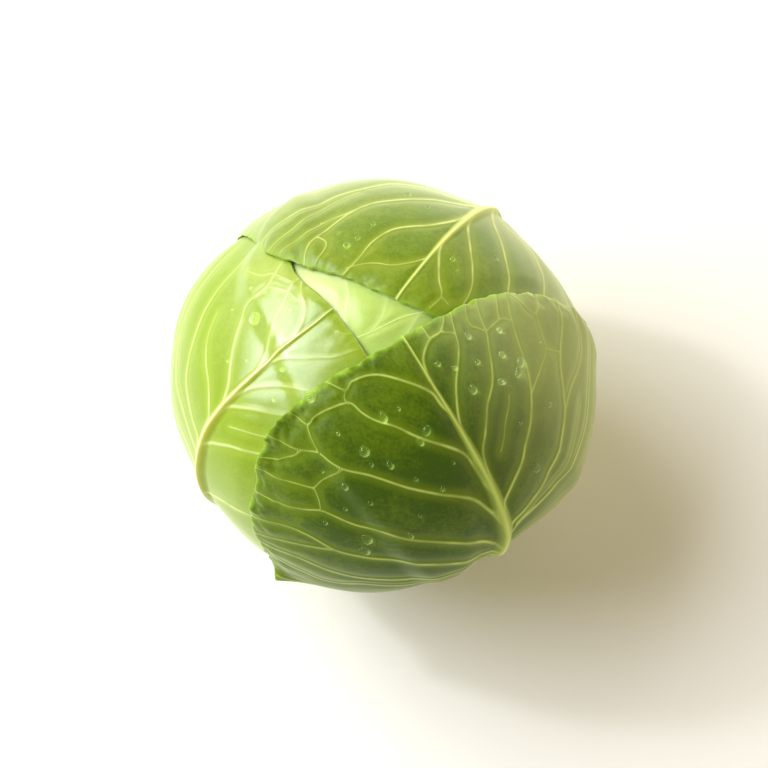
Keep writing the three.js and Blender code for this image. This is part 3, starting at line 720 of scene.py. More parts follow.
def leaf_surface(shape, level, p):
    """The inner and outer face of a leaf at flat points, in metres, and the fields that its material
    reads."""
    leaf = LEAVES[level]
    direction = direction_of(leaf, p)
    open_to_air = exposure(level, direction)
    depth = np.maximum(-beyond_edge(leaf, p), 0)
    gap, signed, half = vein_field(leaf, p)

    stack = stack_under(shape, level, direction)
    sag = EDGE_HUG + EDGE_SAG_SHARE * (stack - stack_under(shape, level, direction, 0, 5))
    low = heart_radius(shape, direction) + stack + LAYER_GAP
    low += keel_height(leaf, p) + edge_lift(shape, leaf, p, open_to_air)
    low -= sag * np.exp(-depth / EDGE_SAG_REACH) * open_to_air

    beside = (p[:, 0] - midrib_x(leaf, p[:, 1])) / rib_half_width(leaf, p[:, 1])
    rib = np.maximum(0, 1 - (beside / 1.35) ** 2) ** 1.6
    rib_rise = rib_height(leaf, p[:, 1]) * (0.85 * rib + 0.15 * np.exp(-0.3 * beside * beside))
    ridge = np.maximum(0, 1 - (gap / (1.9 * half + 1.0)) ** 2) ** 2
    vein_rise = shape.vein / MM * leaf["vein_rise"] * (half / 0.8) ** 0.7 * ridge
    rib_gap = (np.abs(beside) - 0.7) * rib_half_width(leaf, p[:, 1])
    inside_panel = np.clip(np.minimum(gap, rib_gap) / PANEL_REACH, 0, 1)
    bulge = leaf["quilt"] * shape.quilting / MM * inside_panel * (2 - inside_panel) * smooth(0, 12, depth)
    sway = 0.35 * noise(p[:, 0] / 21, p[:, 1] / 21, leaf["azimuth"])
    crumple = noise(p[:, 0] / 6.5, p[:, 1] / 6.5, 3) + 0.5 * noise(p[:, 0] / 3, p[:, 1] / 3, 4)
    frill = 0.6 + 1.4 * smooth(40, 5, np.abs(angle_of(p) - leaf.get("frill", 180)))
    pucker = shape.pucker / MM * crumple * np.exp(-depth / 8) * leaf["ruffle"] * frill

    open_relief = np.maximum(rib_rise, vein_rise + bulge) + sway + pucker
    pressed_relief = PRESSED_RIB * rib_rise + PRESSED_VEIN * vein_rise
    blade = blade_thickness(leaf, p, shape.blade / MM) * (0.4 + 0.6 * smooth(0, 5, depth))
    high = low + blade + open_to_air * open_relief + (1 - open_to_air) * pressed_relief

    fields = {
        "vein_gap": gap,
        "vein_side": signed,
        "vein_half_width": half,
        "depth": depth,
        "height": high * direction[:, 2] + CENTRE_HEIGHT,
        "beside_rib": beside,
    }
    inner, outer = (direction * face[:, None] + CENTRE for face in (low, high))
    return inner * MM, outer * MM, fields


# Meshes


def make_piece(name, points, faces, material, replaced, fields=None):
    """A smooth mesh object with its fields as attributes, declared to the frame."""
    mesh = bpy.data.meshes.new(name)
    mesh.from_pydata(points, [], faces)
    mesh.update()
    if mesh.validate():
        raise RuntimeError(f"the mesh of {name} has broken faces")
    mesh.polygons.foreach_set("use_smooth", np.ones(len(mesh.polygons), bool))
    for key, values in (fields or {}).items():
        kind, field = ("FLOAT", "value") if values.ndim == 1 else ("FLOAT_VECTOR", "vector")
        attribute = mesh.attributes.new(key, kind, "POINT")
        attribute.data.foreach_set(field, values.astype(np.float32).ravel())
    mesh.materials.append(material)
    piece = bpy.data.objects.new(name, mesh)
    bpy.context.scene.collection.objects.link(piece)
    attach(piece, "root")
    if replaced:
        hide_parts(replaced)
    return piece


def shell_faces():
    """The faces of a leaf's shell: a fine outer grid, a rim, and a coarse inner grid that meets the rim."""
    n = OUTER_CELLS
    index = np.arange((n + 1) ** 2).reshape(n + 1, n + 1)
    corners = [index[:-1, :-1], index[1:, :-1], index[1:, 1:], index[:-1, 1:]]
    faces = np.stack([c.ravel() for c in corners], axis=1).tolist()
    border = np.concatenate([index[:-1, 0], index[-1, :-1], index[:0:-1, -1], index[0, :0:-1]])
    under = {int(v): (n + 1) ** 2 + k for k, v in enumerate(border)}
    for a, b in zip(border, np.roll(border, -1)):
        faces.append([int(b), int(a), under[int(a)], under[int(b)]])
    inner_ids = dict(under)
    inside = index[INNER_STEP:-1:INNER_STEP, INNER_STEP:-1:INNER_STEP].ravel()
    inner_ids.update({int(v): (n + 1) ** 2 + len(border) + k for k, v in enumerate(inside)})
    for i in range(0, n, INNER_STEP):
        for j in range(0, n, INNER_STEP):
            loop = []
            ring = [
                (i, range(j, j + INNER_STEP), True),
                (j + INNER_STEP, range(i, i + INNER_STEP), False),
                (i + INNER_STEP, range(j + INNER_STEP, j, -1), True),
                (j, range(i + INNER_STEP, i, -1), False),
            ]
            for fixed, moving, fixed_first in ring:
                for m in moving:
                    v = int(index[fixed, m] if fixed_first else index[m, fixed])
                    if v in inner_ids and (m == moving[0] or fixed in (0, n)):
                        loop.append(inner_ids[v])
            faces.append(loop)
    kept = np.concatenate([border, inside])
    return faces, kept


def make_leaf(shape, level, material):
    """One wrapper leaf as a closed shell."""
    leaf = LEAVES[level]
    p = flat_grid(leaf)
    inner, outer, fields = leaf_surface(shape, level, p)
    faces, kept = shell_faces()
    fields["flat"] = np.column_stack([p, np.full(len(p), 40.0 * level)])
    fields = {key: np.concatenate([values, values[kept]]) for key, values in fields.items()}
    points = np.concatenate([outer, inner[kept]])
    name = leaf["name"]
    return make_piece(name + "_blade", points, faces, material, name, fields)


def ball_faces(rings, sides):
    """Faces between rings of a ball-like grid whose first and last point are its poles."""
    faces = []
    for s in range(sides):
        t = (s + 1) % sides
        faces.append([0, 1 + s, 1 + t])
        for r in range(rings - 1):
            a, b = 1 + r * sides, 1 + (r + 1) * sides
            faces.append([a + s, b + s, b + t, a + t])
        last = 1 + (rings - 1) * sides
        faces.append([last + t, last + s, last + sides])
    return faces


def make_heart(shape, material):
    """The heart, as far as it shows between the leaves."""
    rings, sides = 90, 180
    tilt = np.linspace(0, np.pi, rings + 2)[1:-1]
    turn = np.linspace(0, 2 * np.pi, sides, endpoint=False)
    t, u = (g.ravel() for g in np.meshgrid(tilt, turn, indexing="ij"))
    around = np.column_stack([np.sin(t) * np.cos(u), np.sin(t) * np.sin(u), np.cos(t)])
    direction = np.vstack([[[0, 0, 1]], around, [[0, 0, -1]]])
    points = direction * heart_radius(shape, direction)[:, None] + CENTRE
    faces = ball_faces(rings, sides)
    return make_piece("heart_leaves", points * MM, faces, material, "heart", {"flat": points})


def make_stem(material):
    """The stem's stub: a flat cut with a slightly torn rim, and a ribbed side where leaves were trimmed
    off."""
    radius = (STEM_HIGH[0] - STEM_LOW[0]) / 2 / MM
    height = STEM_HIGH[2] / MM
    profile = STEM_PROFILE + [(0.84, height), (0.4, height)]
    sides = 160
    turn = np.linspace(0, 2 * np.pi, sides, endpoint=False)
    points = [(0, 0, 0)]
    for share, z in profile:
        wobble = 1 + 0.012 * np.sin(5 * turn + 1) + 0.008 * np.sin(11 * turn)
        r = radius * share * (wobble if share > 0.5 else 1)
        r = np.minimum(r, radius)
        points += list(zip(r * np.cos(turn), r * np.sin(turn), np.full(sides, z)))
    points.append((0, 0, height))
    points = np.array(points)
    faces = [face[::-1] for face in ball_faces(len(profile), sides)]
    return make_piece("stem_stub", points * MM, faces, material, "stem", {"flat": points})


def make_drops(shape, leaf_name, material):
    """The water drops on one leaf: low domes whose foot follows the leaf. The field lit is 1 on the side
    where the light that a drop has gathered leaves it."""
    level = next(i for i, leaf in enumerate(LEAVES) if leaf["name"] == leaf_name)
    points, faces, lit = [], [], []
    tilt = np.linspace(0, np.pi, DROP_RINGS + 2)[1:-1]
    rings = [(0.0, 1.0)] + [(math.sin(t), math.cos(t)) for t in tilt] + [(0.0, -1.0)]
    turn = np.linspace(0, 2 * np.pi, DROP_SIDES, endpoint=False)
    for number, (x, y, radius) in enumerate(DROPS[leaf_name]):
        radius *= DROP_SWELL
        stretch = 1 + 0.18 * math.sin(number * 2.4)
        spin = number * 1.3
        flat, rise = [], []
        for across, up in rings:
            around = turn if across else turn[:1]
            wobble = 1 + 0.05 * np.sin(2 * around + number) + 0.03 * np.sin(3 * around)
            a = radius * across * wobble * np.cos(around) * stretch
            b = radius * across * wobble * np.sin(around) / stretch
            spun_x = x + a * math.cos(spin) - b * math.sin(spin)
            spun_y = y + a * math.sin(spin) + b * math.cos(spin)
            flat += list(zip(spun_x, spun_y))
            rise += [radius * up * (DROP_DOME if up > 0 else DROP_FOOT)] * len(around)
        _, outer, _ = leaf_surface(shape, level, np.array(flat))
        out = outer - CENTRE * MM
        out /= np.linalg.norm(out, axis=1)[:, None]
        start = sum(len(block) for block in points)
        points.append(outer + out * (np.array(rise)[:, None] * MM))
        lit.append(GATHERED[leaf_name] * (outer - outer.mean(axis=0)) @ AWAY_FROM_LIGHT / (radius * MM))
        faces += [[start + v for v in face] for face in ball_faces(DROP_RINGS, DROP_SIDES)]
    fields = {"lit": np.concatenate(lit)}
    points = np.concatenate(points)
    piece = make_piece(leaf_name + "_drops", points, faces, material, None, fields)
    piece.visible_shadow = False
    return piece


# Materials

# The settings of a colour mix, and of a range that eases from one value to another.
COLOUR_MIX = {"data_type": "RGBA"}
EASED = {"interpolation_type": "SMOOTHSTEP"}


def add_node(tree, kind, inputs=(), **settings):
    """Adds a node with its settings, and sets or links each of its inputs."""
    node = tree.nodes.new(kind)
    for key, value in settings.items():
        setattr(node, key, value)
    for key, value in dict(inputs).items():
        if isinstance(value, bpy.types.NodeSocket):
            tree.links.new(value, node.inputs[key])
        else:
            node.inputs[key].default_value = value
    return node


def new_material(name):
    """An empty node material and its tree."""
    material = bpy.data.materials.new(name)
    material.use_nodes = True
    material.node_tree.nodes.clear()
    return material, material.node_tree


def leaf_material(leaf, colours):
    """Fresh cabbage leaf, grown with a bloom of wax on its outer face. The wax gives it a soft gloss and a
    pale sheen where it is seen at a slant, the veins are pale cords that stand in it, and light glows a
    little through the thin blade."""
    material, tree = new_material(f"waxy_{leaf['name']}")
    panel, dark, vein, rib_colour = (
        (*getattr(colours, f"{leaf['name']}_{part}"), 1) for part in ("panel", "dark", "vein", "rib")
    )
    read = {
        key: add_node(tree, "ShaderNodeAttribute", attribute_name=key).outputs["Fac"]
        for key in ("vein_gap", "vein_side", "vein_half_width", "depth", "beside_rib", "height")
    }
    flat = add_node(tree, "ShaderNodeAttribute", attribute_name="flat").outputs["Vector"]
    place = add_node(tree, "ShaderNodeSeparateXYZ", {0: flat}).outputs

    # Veins and midrib: a pale crest in a lighter band of blade. The signed distance draws the thinnest
    # crests sharp between the points of the mesh.
    side = add_node(tree, "ShaderNodeMath", {0: read["vein_side"]}, operation="ABSOLUTE").outputs[0]
    gap = add_node(
        tree,
        "ShaderNodeMath",
        {
            0: side,
            1: add_node(
                tree, "ShaderNodeMath", {0: read["vein_gap"], 1: 0.35}, operation="SUBTRACT"
            ).outputs[0],
        },
        operation="MAXIMUM",
    ).outputs[0]
    widths = add_node(
        tree, "ShaderNodeMath", {0: gap, 1: read["vein_half_width"]}, operation="DIVIDE"
    ).outputs[0]
    patchy = add_node(tree, "ShaderNodeTexNoise", {"Vector": flat, "Scale": 1 / 9, "Detail": 1}).outputs["Fac"]
    patchy = add_node(
        tree, "ShaderNodeMapRange", {0: patchy, 1: 0.35, 2: 0.6, 3: 0.55, 4: 1}, **EASED
    ).outputs[0]
    crest = add_node(
        tree,
        "ShaderNodeMath",
        {
            0: add_node(
                tree,
                "ShaderNodeMapRange",
                {0: widths, 1: 0, 2: 1.8, 3: leaf["vein_paleness"], 4: 0},
                **EASED,
            ).outputs[0],
            1: patchy,
        },
        operation="MULTIPLY",
    ).outputs[0]
    crest = add_node(
        tree,
        "ShaderNodeMath",
        {
            0: crest,
            1: add_node(
                tree,
                "ShaderNodeMapRange",
                {0: read["vein_half_width"], 1: 0.25, 2: 0.65, 3: 0.6, 4: 1},
                **EASED,
            ).outputs[0],
        },
        operation="MULTIPLY",
    ).outputs[0]
    halo = add_node(
        tree, "ShaderNodeMapRange", {0: gap, 1: 0.5, 2: 5.5, 3: 0.7, 4: 0}, **EASED
    ).outputs[0]
    rib_side = add_node(tree, "ShaderNodeMath", {0: read["beside_rib"]}, operation="ABSOLUTE").outputs[0]
    rib_flank = add_node(
        tree, "ShaderNodeMapRange", {0: rib_side, 1: 0.3, 2: 1.5, 3: 0.8, 4: 0}, **EASED
    ).outputs[0]
    # Painted highlight: the crest's shift moves the midrib's pale crest towards the side of the rib that faces
    # the light.
    rib_middle = add_node(
        tree,
        "ShaderNodeMath",
        {
            0: add_node(
                tree, "ShaderNodeMath", {0: read["beside_rib"], 1: leaf["painted_highlight_shift"]}, operation="ADD"
            ).outputs[0],
        },
        operation="ABSOLUTE",
    ).outputs[0]
    rib_crest = add_node(
        tree, "ShaderNodeMapRange", {0: rib_middle, 1: 0, 2: 0.6, 3: 0.9, 4: 0}, **EASED
    ).outputs[0]

    # The net of small veins: cells about 9 mm wide, drawn 0.5 mm wide, which fade 22 mm from the edge.
    bend = add_node(tree, "ShaderNodeTexNoise", {"Vector": flat, "Scale": 0.25, "Detail": 1})
    bent = add_node(
        tree,
        "ShaderNodeVectorMath",
        {0: bend.outputs["Color"], 1: (2.5, 2.5, 0), 2: flat},
        operation="MULTIPLY_ADD",
    )
    cells = add_node(
        tree, "ShaderNodeTexVoronoi", {"Vector": bent.outputs[0], "Scale": 1 / 9}, feature="DISTANCE_TO_EDGE"
    )
    net_line = add_node(
        tree, "ShaderNodeMapRange", {0: cells.outputs["Distance"], 1: 0, 2: 0.07, 3: 1, 4: 0}, **EASED
    ).outputs[0]
    net = add_node(
        tree,
        "ShaderNodeMath",
        {
            0: net_line,
            1: add_node(
                tree, "ShaderNodeMapRange", {0: read["depth"], 1: 3, 2: 22, 3: leaf["net"], 4: 0}, **EASED
            ).outputs[0],
        },
        operation="MULTIPLY",
    ).outputs[0]

    # Blotches of 25 mm, streaks of 5 mm, mottling of 1.5 mm and fibres along the veins in the green, which
    # also pales towards the edge.
    blotch = add_node(tree, "ShaderNodeTexNoise", {"Vector": flat, "Scale": 1 / 25, "Detail": 3}).outputs["Fac"]
    streak = add_node(tree, "ShaderNodeTexNoise", {"Vector": flat, "Scale": 1 / 5, "Detail": 2}).outputs["Fac"]
    across = add_node(tree, "ShaderNodeMath", {0: place["X"], 1: 0.12}, operation="MULTIPLY").outputs[0]
    along = add_node(tree, "ShaderNodeMath", {0: place["Y"], 1: 0.12}, operation="MULTIPLY").outputs[0]
    beside_vein = add_node(tree, "ShaderNodeCombineXYZ", {0: read["vein_gap"], 1: across, 2: along})
    fibre = add_node(
        tree, "ShaderNodeTexNoise", {"Vector": beside_vein.outputs[0], "Scale": 1.3, "Detail": 2}
    ).outputs["Fac"]
    mottle = add_node(
        tree, "ShaderNodeTexNoise", {"Vector": flat, "Scale": 1 / 1.5, "Detail": 4}
    ).outputs["Fac"]
    tone = add_node(
        tree, "ShaderNodeMapRange", {0: blotch, 1: 0.36, 2: 0.64, 3: 0.05, 4: 0.4}, **EASED
    ).outputs[0]
    for pattern, low, high, start, end in (
        (streak, 0.35, 0.7, -0.1, 0.1),
        (read["depth"], 8, 60, 0.25, -0.12),
        (mottle, 0.3, 0.7, -0.18, 0.18),
        (fibre, 0.3, 0.7, -0.08, 0.08),
    ):
        tone = add_node(
            tree,
            "ShaderNodeMath",
            {
                0: add_node(
                    tree, "ShaderNodeMapRange", {0: pattern, 1: low, 2: high, 3: start, 4: end}, **EASED
                ).outputs[0],
                1: tone,
            },
            operation="ADD",
        ).outputs[0]
    green = add_node(tree, "ShaderNodeMix", {0: tone, 6: dark, 7: panel}, **COLOUR_MIX).outputs[2]
    green = add_node(tree, "ShaderNodeMix", {0: halo, 6: green, 7: panel}, **COLOUR_MIX).outputs[2]
    green = add_node(tree, "ShaderNodeMix", {0: net, 6: green, 7: vein}, **COLOUR_MIX).outputs[2]
    # Painted sheen: the green pales towards the right half, where the bright room at the right reflects in the
    # leaf.
    painted_sheen = (*colours.painted_sheen, 1)
    green = add_node(
        tree,
        "ShaderNodeMix",
        {
            0: add_node(
                tree,
                "ShaderNodeMapRange",
                {0: place["X"], 1: -5, 2: 70, 3: 0, 4: leaf["painted_sheen_side"]},
                **EASED,
            ).outputs[0],
            6: green,
            7: painted_sheen,
        },
        **COLOUR_MIX,
    ).outputs[2]
    if "painted_fold_highlight" in leaf:
        # Painted highlight: past a line that runs at a slant, where the real blade folds, the side that faces
        # the window is painted nearly white.
        past_fold = add_node(
            tree,
            "ShaderNodeMath",
            {0: place["X"], 1: FOLD_SLOPE, 2: place["Y"]},
            operation="MULTIPLY_ADD",
        ).outputs[0]
        green = add_node(
            tree,
            "ShaderNodeMix",
            {
                0: add_node(
                    tree,
                    "ShaderNodeMapRange",
                    {0: past_fold, 1: leaf["painted_fold_highlight"], 2: leaf["painted_fold_highlight"] + 0.7, 3: 0, 4: 0.62},
                    **EASED,
                ).outputs[0],
                6: green,
                7: painted_sheen,
            },
            **COLOUR_MIX,
        ).outputs[2]
    if "pale_below" in leaf:
        # A pale film of paint that grows thicker down the side of the head: partly wax, partly painted sheen at
        # the head's sides.
        top = leaf["pale_below"]
        wax_and_sheen_film = add_node(
            tree,
            "ShaderNodeMapRange",
            {0: read["height"], 1: top - WAX_AND_SHEEN_FADE, 2: top, 3: leaf["wax_and_sheen_film"], 4: 0},
            **EASED,
        ).outputs[0]
        green = add_node(
            tree, "ShaderNodeMix", {0: wax_and_sheen_film, 6: green, 7: (*colours.bloom, 1)}, **COLOUR_MIX
        ).outputs[2]

    # The thin bright edge, 3 mm wide and frayed by the streaks, partly its own paler green and partly painted
    # light glowing through it, and the veins over it.
    frayed = add_node(
        tree, "ShaderNodeMath", {0: streak, 1: 7.0, 2: read["depth"]}, operation="MULTIPLY_ADD"
    ).outputs[0]
    edge_glow_share = add_node(
        tree,
        "ShaderNodeMath",
        {
            0: add_node(
                tree, "ShaderNodeMapRange", {0: frayed, 1: 3.0, 2: 8.5, 3: 0.9, 4: 0}, **EASED
            ).outputs[0],
            1: leaf["edge_glow_paint"],
        },
        operation="MULTIPLY",
    ).outputs[0]
    green = add_node(
        tree, "ShaderNodeMix", {0: edge_glow_share, 6: green, 7: (*colours.edge, 1)}, **COLOUR_MIX
    ).outputs[2]
    green = add_node(tree, "ShaderNodeMix", {0: crest, 6: green, 7: vein}, **COLOUR_MIX).outputs[2]
    green = add_node(
        tree, "ShaderNodeMix", {0: rib_flank, 6: green, 7: rib_colour}, **COLOUR_MIX
    ).outputs[2]
    green = add_node(tree, "ShaderNodeMix", {0: rib_crest, 6: green, 7: vein}, **COLOUR_MIX).outputs[2]

    # The blade is embossed by its net of veins and has a fine grain.
    relief = add_node(
        tree, "ShaderNodeMath", {0: crest, 1: 0.25, 2: net}, operation="MULTIPLY_ADD"
    ).outputs[0]
    relief = add_node(
        tree, "ShaderNodeMath", {0: fibre, 1: 0.2, 2: relief}, operation="MULTIPLY_ADD"
    ).outputs[0]
    relief = add_node(
        tree, "ShaderNodeMath", {0: mottle, 1: 0.35, 2: relief}, operation="MULTIPLY_ADD"
    ).outputs[0]
    bump = add_node(tree, "ShaderNodeBump", {"Strength": 0.45, "Distance": 0.25 * MM, "Height": relief})
    gloss = add_node(
        tree,
        "ShaderNodeMapRange",
        {0: mottle, 1: 0.3, 2: 0.7, 3: leaf["roughness"] - 0.04, 4: leaf["roughness"] + 0.04},
        **EASED,
    ).outputs[0]
    shader = add_node(
        tree,
        "ShaderNodeBsdfPrincipled",
        {
            "Base Color": green,
            "Roughness": gloss,
            "IOR": 1.45,
            "Specular IOR Level": leaf["specular"],
            "Subsurface Weight": 0.15,
            "Subsurface Radius": (0.6, 0.8, 0.1),
            "Subsurface Scale": 2 * MM,
            "Coat Weight": add_node(
                tree,
                "ShaderNodeMapRange",
                {0: place["Y"], 1: 48, 2: 76, 3: 0.05 * leaf["coat"], 4: leaf["coat"]},
                **EASED,
            ).outputs[0],
            "Coat Roughness": 0.26,
            "Coat IOR": 1.6,
            "Sheen Weight": 1.4 * leaf["bloom"],
            "Sheen Roughness": 0.4,
            "Sheen Tint": (*colours.bloom, 1),
            "Normal": bump.outputs[0],
        },
    )
    add_node(tree, "ShaderNodeOutputMaterial", {"Surface": shader.outputs[0]})
    return material


def plain_leaf_material(colours):
    """Blanched leaf of the heart, grown without light: pale, moist and satin."""
    material, tree = new_material("blanched_heart_leaf")
    flat = add_node(tree, "ShaderNodeAttribute", attribute_name="flat").outputs["Vector"]
    blotch = add_node(tree, "ShaderNodeTexNoise", {"Vector": flat, "Scale": 1 / 20, "Detail": 4}).outputs["Fac"]
    tint = add_node(
        tree,
        "ShaderNodeMix",
        {0: blotch, 6: (*colours.heart, 1), 7: (*colours.leaf_inner_panel, 1)},
        **COLOUR_MIX,
    ).outputs[2]
    bump = add_node(tree, "ShaderNodeBump", {"Strength": 0.4, "Distance": MM, "Height": blotch})
    shader = add_node(
        tree,
        "ShaderNodeBsdfPrincipled",
        {"Base Color": tint, "Roughness": 0.42, "IOR": 1.45, "Normal": bump.outputs[0]},
    )
    add_node(tree, "ShaderNodeOutputMaterial", {"Surface": shader.outputs[0]})
    return material


def stem_material(colours):
    """Cut cabbage stem, sliced with a knife: moist pale pith inside a greener woody ring."""
    material, tree = new_material("sliced_stem_flesh")
    flat = add_node(tree, "ShaderNodeAttribute", attribute_name="flat").outputs["Vector"]
    radius = add_node(tree, "ShaderNodeVectorMath", {0: flat}, operation="LENGTH").outputs["Value"]
    pith = add_node(tree, "ShaderNodeTexNoise", {"Vector": flat, "Scale": 1 / 1.8, "Detail": 4}).outputs["Fac"]
    flesh = add_node(
        tree, "ShaderNodeMix", {0: pith, 6: (*colours.stem, 1), 7: (*linear(13880979), 1)}, **COLOUR_MIX
    ).outputs[2]
    ringed = add_node(
        tree,
        "ShaderNodeMix",
        {
            0: add_node(
                tree, "ShaderNodeMapRange", {0: radius, 1: 9.5, 2: 12, 3: 0, 4: 1}, **EASED
            ).outputs[0],
            6: flesh,
            7: (*linear(12570500), 1),
        },
        **COLOUR_MIX,
    ).outputs[2]
    bump = add_node(tree, "ShaderNodeBump", {"Strength": 0.5, "Distance": 0.4 * MM, "Height": pith})
    shader = add_node(
        tree,
        "ShaderNodeBsdfPrincipled",
        {"Base Color": ringed, "Roughness": 0.6, "IOR": 1.4, "Normal": bump.outputs[0]},
    )
    add_node(tree, "ShaderNodeOutputMaterial", {"Surface": shader.outputs[0]})
    return material


def water_material():
    """Clean water, beaded on wax: clear, with a sharp highlight, a darker rim, and a bright crescent
    opposite the light, where the light that the drop gathers falls on the leaf."""
    material, tree = new_material("clear_water")
    lit = add_node(tree, "ShaderNodeAttribute", attribute_name="lit").outputs["Fac"]
    # Painted light: the drop glows by emission on its side away from the light, where a real drop focuses light
    # onto the leaf.
    crescent = add_node(
        tree, "ShaderNodeMapRange", {0: lit, 1: 0.1, 2: 0.9, 3: 0, 4: 0.45}, **EASED
    ).outputs[0]
    shader = add_node(
        tree,
        "ShaderNodeBsdfPrincipled",
        {
            "Base Color": (0.96, 1, 0.95, 1),
            "Roughness": 0.02,
            "IOR": 1.333,
            "Transmission Weight": 1.0,
            "Emission Color": (*linear(0xC0D27E), 1),
            "Emission Strength": crescent,
        },
    )
    add_node(tree, "ShaderNodeOutputMaterial", {"Surface": shader.outputs[0]})
    return material


def floor_material(colours):
    """White studio paper, matt."""
    material, tree = new_material("matt_white_paper")
    shader = add_node(
        tree, "ShaderNodeBsdfPrincipled", {"Base Color": (*colours.floor, 1), "Roughness": 0.9, "IOR": 1.4}
    )
    add_node(tree, "ShaderNodeOutputMaterial", {"Surface": shader.outputs[0]})
    return material


# Operators


class CABBAGE_OT_stem(Operator):
    """Make the stem's cut stub"""

    bl_idname = "cabbage.stem"
    bl_label = "Stem"

    def execute(self, context):
        make_stem(stem_material(context.scene.cabbage_colours))
        return {"FINISHED"}


class CABBAGE_OT_heart(Operator):
    """Make the heart that the leaves wrap"""

    bl_idname = "cabbage.heart"
    bl_label = "Heart"

    def execute(self, context):
        scene = context.scene
        make_heart(scene.cabbage_shape, plain_leaf_material(scene.cabbage_colours))
        return {"FINISHED"}


class CABBAGE_OT_leaves(Operator):
    """Make the wrapper leaves, from the innermost out"""

    bl_idname = "cabbage.leaves"
    bl_label = "Leaves"

    def execute(self, context):
        scene = context.scene
        for level, leaf in enumerate(LEAVES):
            make_leaf(scene.cabbage_shape, level, leaf_material(leaf, scene.cabbage_colours))
        return {"FINISHED"}


class CABBAGE_OT_drops(Operator):
    """Make the water drops on the leaves"""

    bl_idname = "cabbage.drops"
    bl_label = "Water drops"

    def execute(self, context):
        material = water_material()
        for leaf_name in DROPS:
            make_drops(context.scene.cabbage_shape, leaf_name, material)
        return {"FINISHED"}


class CABBAGE_OT_stage(Operator):
    """Make the floor, the light and the camera"""

    bl_idname = "cabbage.stage"
    bl_label = "Stage"

    def execute(self, context):
        scene = context.scene
        stage = scene.cabbage_stage
        make_floor(scene)
        make_lights(scene, stage)
        make_camera(scene, stage)
        return {"FINISHED"}


def make_floor(scene):
    corners = [(x * FLOOR_HALF, y * FLOOR_HALF, 0) for x, y in ((-1, -1), (1, -1), (1, 1), (-1, 1))]
    mesh = bpy.data.meshes.new("floor")
    mesh.from_pydata(corners, [], [(0, 1, 2, 3)])
    mesh.materials.append(floor_material(scene.cabbage_colours))
    floor = bpy.data.objects.new("floor", mesh)
    scene.collection.objects.link(floor)


def aim(thing, target):
    """Turns a light or a camera to look at a target."""
    back = np.array(thing.location) - target
    thing.rotation_mode = "QUATERNION"
    thing.rotation_quaternion = Vector(back).to_track_quat("Z", "Y")


def make_lights(scene, stage):
    world = bpy.data.worlds.new("surround")
    world.use_nodes = True
    tree = world.node_tree
    tree.nodes.clear()
    toward = add_node(tree, "ShaderNodeTexCoord").outputs["Generated"]
    rise = add_node(tree, "ShaderNodeSeparateXYZ", {0: toward}).outputs["Z"]
    behind = add_node(tree, "ShaderNodeVectorMath", {0: toward, 1: (0.6, 0.8, 0)}, operation="DOT_PRODUCT")
    turn = add_node(
        tree,
        "ShaderNodeMapRange",
        {0: behind.outputs["Value"], 1: -0.55, 2: 0.45, 3: stage.front, 4: 1},
        **EASED,
    ).outputs[0]
    strength = add_node(
        tree,
        "ShaderNodeMath",
        {
            0: turn,
            1: add_node(
                tree,
                "ShaderNodeMapRange",
                {0: rise, 1: 0.3, 2: 0.8, 3: stage.low, 4: stage.high},
                **EASED,
            ).outputs[0],
        },
        operation="MULTIPLY",
    ).outputs[0]
    glow = add_node(
        tree, "ShaderNodeBackground", {"Color": (*scene.cabbage_colours.surround, 1), "Strength": strength}
    )
    add_node(tree, "ShaderNodeOutputWorld", {"Surface": glow.outputs[0]})
    scene.world = world

    for (name, width, height), power in ((WINDOW_SIZE, stage.key), (PANE_SIZE, stage.glint)):
        data = bpy.data.lights.new(name, "AREA")
        data.shape = "RECTANGLE"
        data.size = width
        data.size_y = height
        data.energy = power
        data.color = linear(DAYLIGHT)
        lamp = bpy.data.objects.new(name, data)
        lamp.location = WINDOW_PLACE
        scene.collection.objects.link(lamp)
        aim(lamp, WINDOW_TARGET)
    scene.view_settings.view_transform = "Standard"


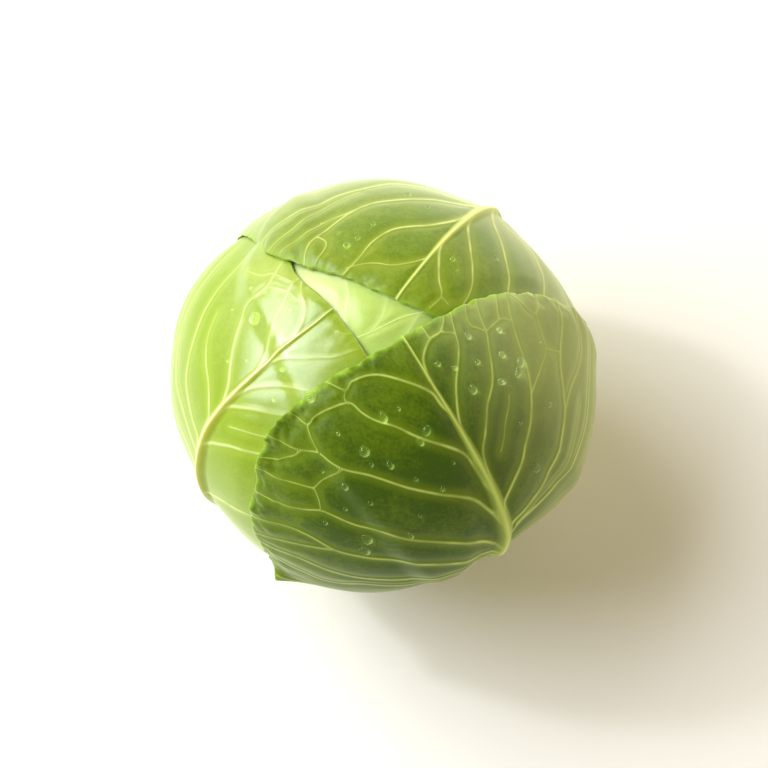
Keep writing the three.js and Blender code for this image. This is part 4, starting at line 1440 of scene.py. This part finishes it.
def make_camera(scene, stage):
    """Above and in front of the head, framed as in the photo."""
    head_middle = CENTRE * MM
    right = np.array([1.0, 0, 0])
    toward = np.array([0, -math.cos(stage.elevation), math.sin(stage.elevation)])
    up = np.cross(toward, right)
    target = head_middle + (right * FRAMING[0] + up * FRAMING[1]) * PIXEL
    data = bpy.data.cameras.new("camera")
    data.sensor_width = 36
    data.lens = 116.5
    data.clip_start, data.clip_end = 0.05, 50
    camera = bpy.data.objects.new("camera", data)
    camera.location = head_middle + toward * stage.distance
    scene.collection.objects.link(camera)
    aim(camera, target)
    scene.camera = camera


class CABBAGE_PT_panel(Panel):
    """The cabbage's sizes, colours and steps"""

    bl_label = "Cabbage Head"
    bl_idname = "CABBAGE_PT_panel"
    bl_space_type = "VIEW_3D"
    bl_region_type = "UI"
    bl_category = "Cabbage"

    def draw(self, context):
        scene = context.scene
        for step in STEPS:
            self.layout.operator(step.bl_idname)
        for group in (scene.cabbage_shape, scene.cabbage_colours, scene.cabbage_stage):
            box = self.layout.box()
            for key in group.__annotations__:
                box.prop(group, key)


STEPS = (CABBAGE_OT_stem, CABBAGE_OT_heart, CABBAGE_OT_leaves, CABBAGE_OT_drops, CABBAGE_OT_stage)
CLASSES = (CabbageShape, CabbageColours, CabbageStage, *STEPS, CABBAGE_PT_panel)


def register():
    for cls in CLASSES:
        bpy.utils.register_class(cls)
    bpy.types.Scene.cabbage_shape = PointerProperty(type=CabbageShape)
    bpy.types.Scene.cabbage_colours = PointerProperty(type=CabbageColours)
    bpy.types.Scene.cabbage_stage = PointerProperty(type=CabbageStage)


def unregister():
    del bpy.types.Scene.cabbage_stage
    del bpy.types.Scene.cabbage_colours
    del bpy.types.Scene.cabbage_shape
    for cls in reversed(CLASSES):
        bpy.utils.unregister_class(cls)


def main():
    register()
    bpy.ops.cabbage.stem()
    bpy.ops.cabbage.heart()
    bpy.ops.cabbage.leaves()
    bpy.ops.cabbage.drops()
    bpy.ops.cabbage.stage()


if __name__ == "__main__":
    main()
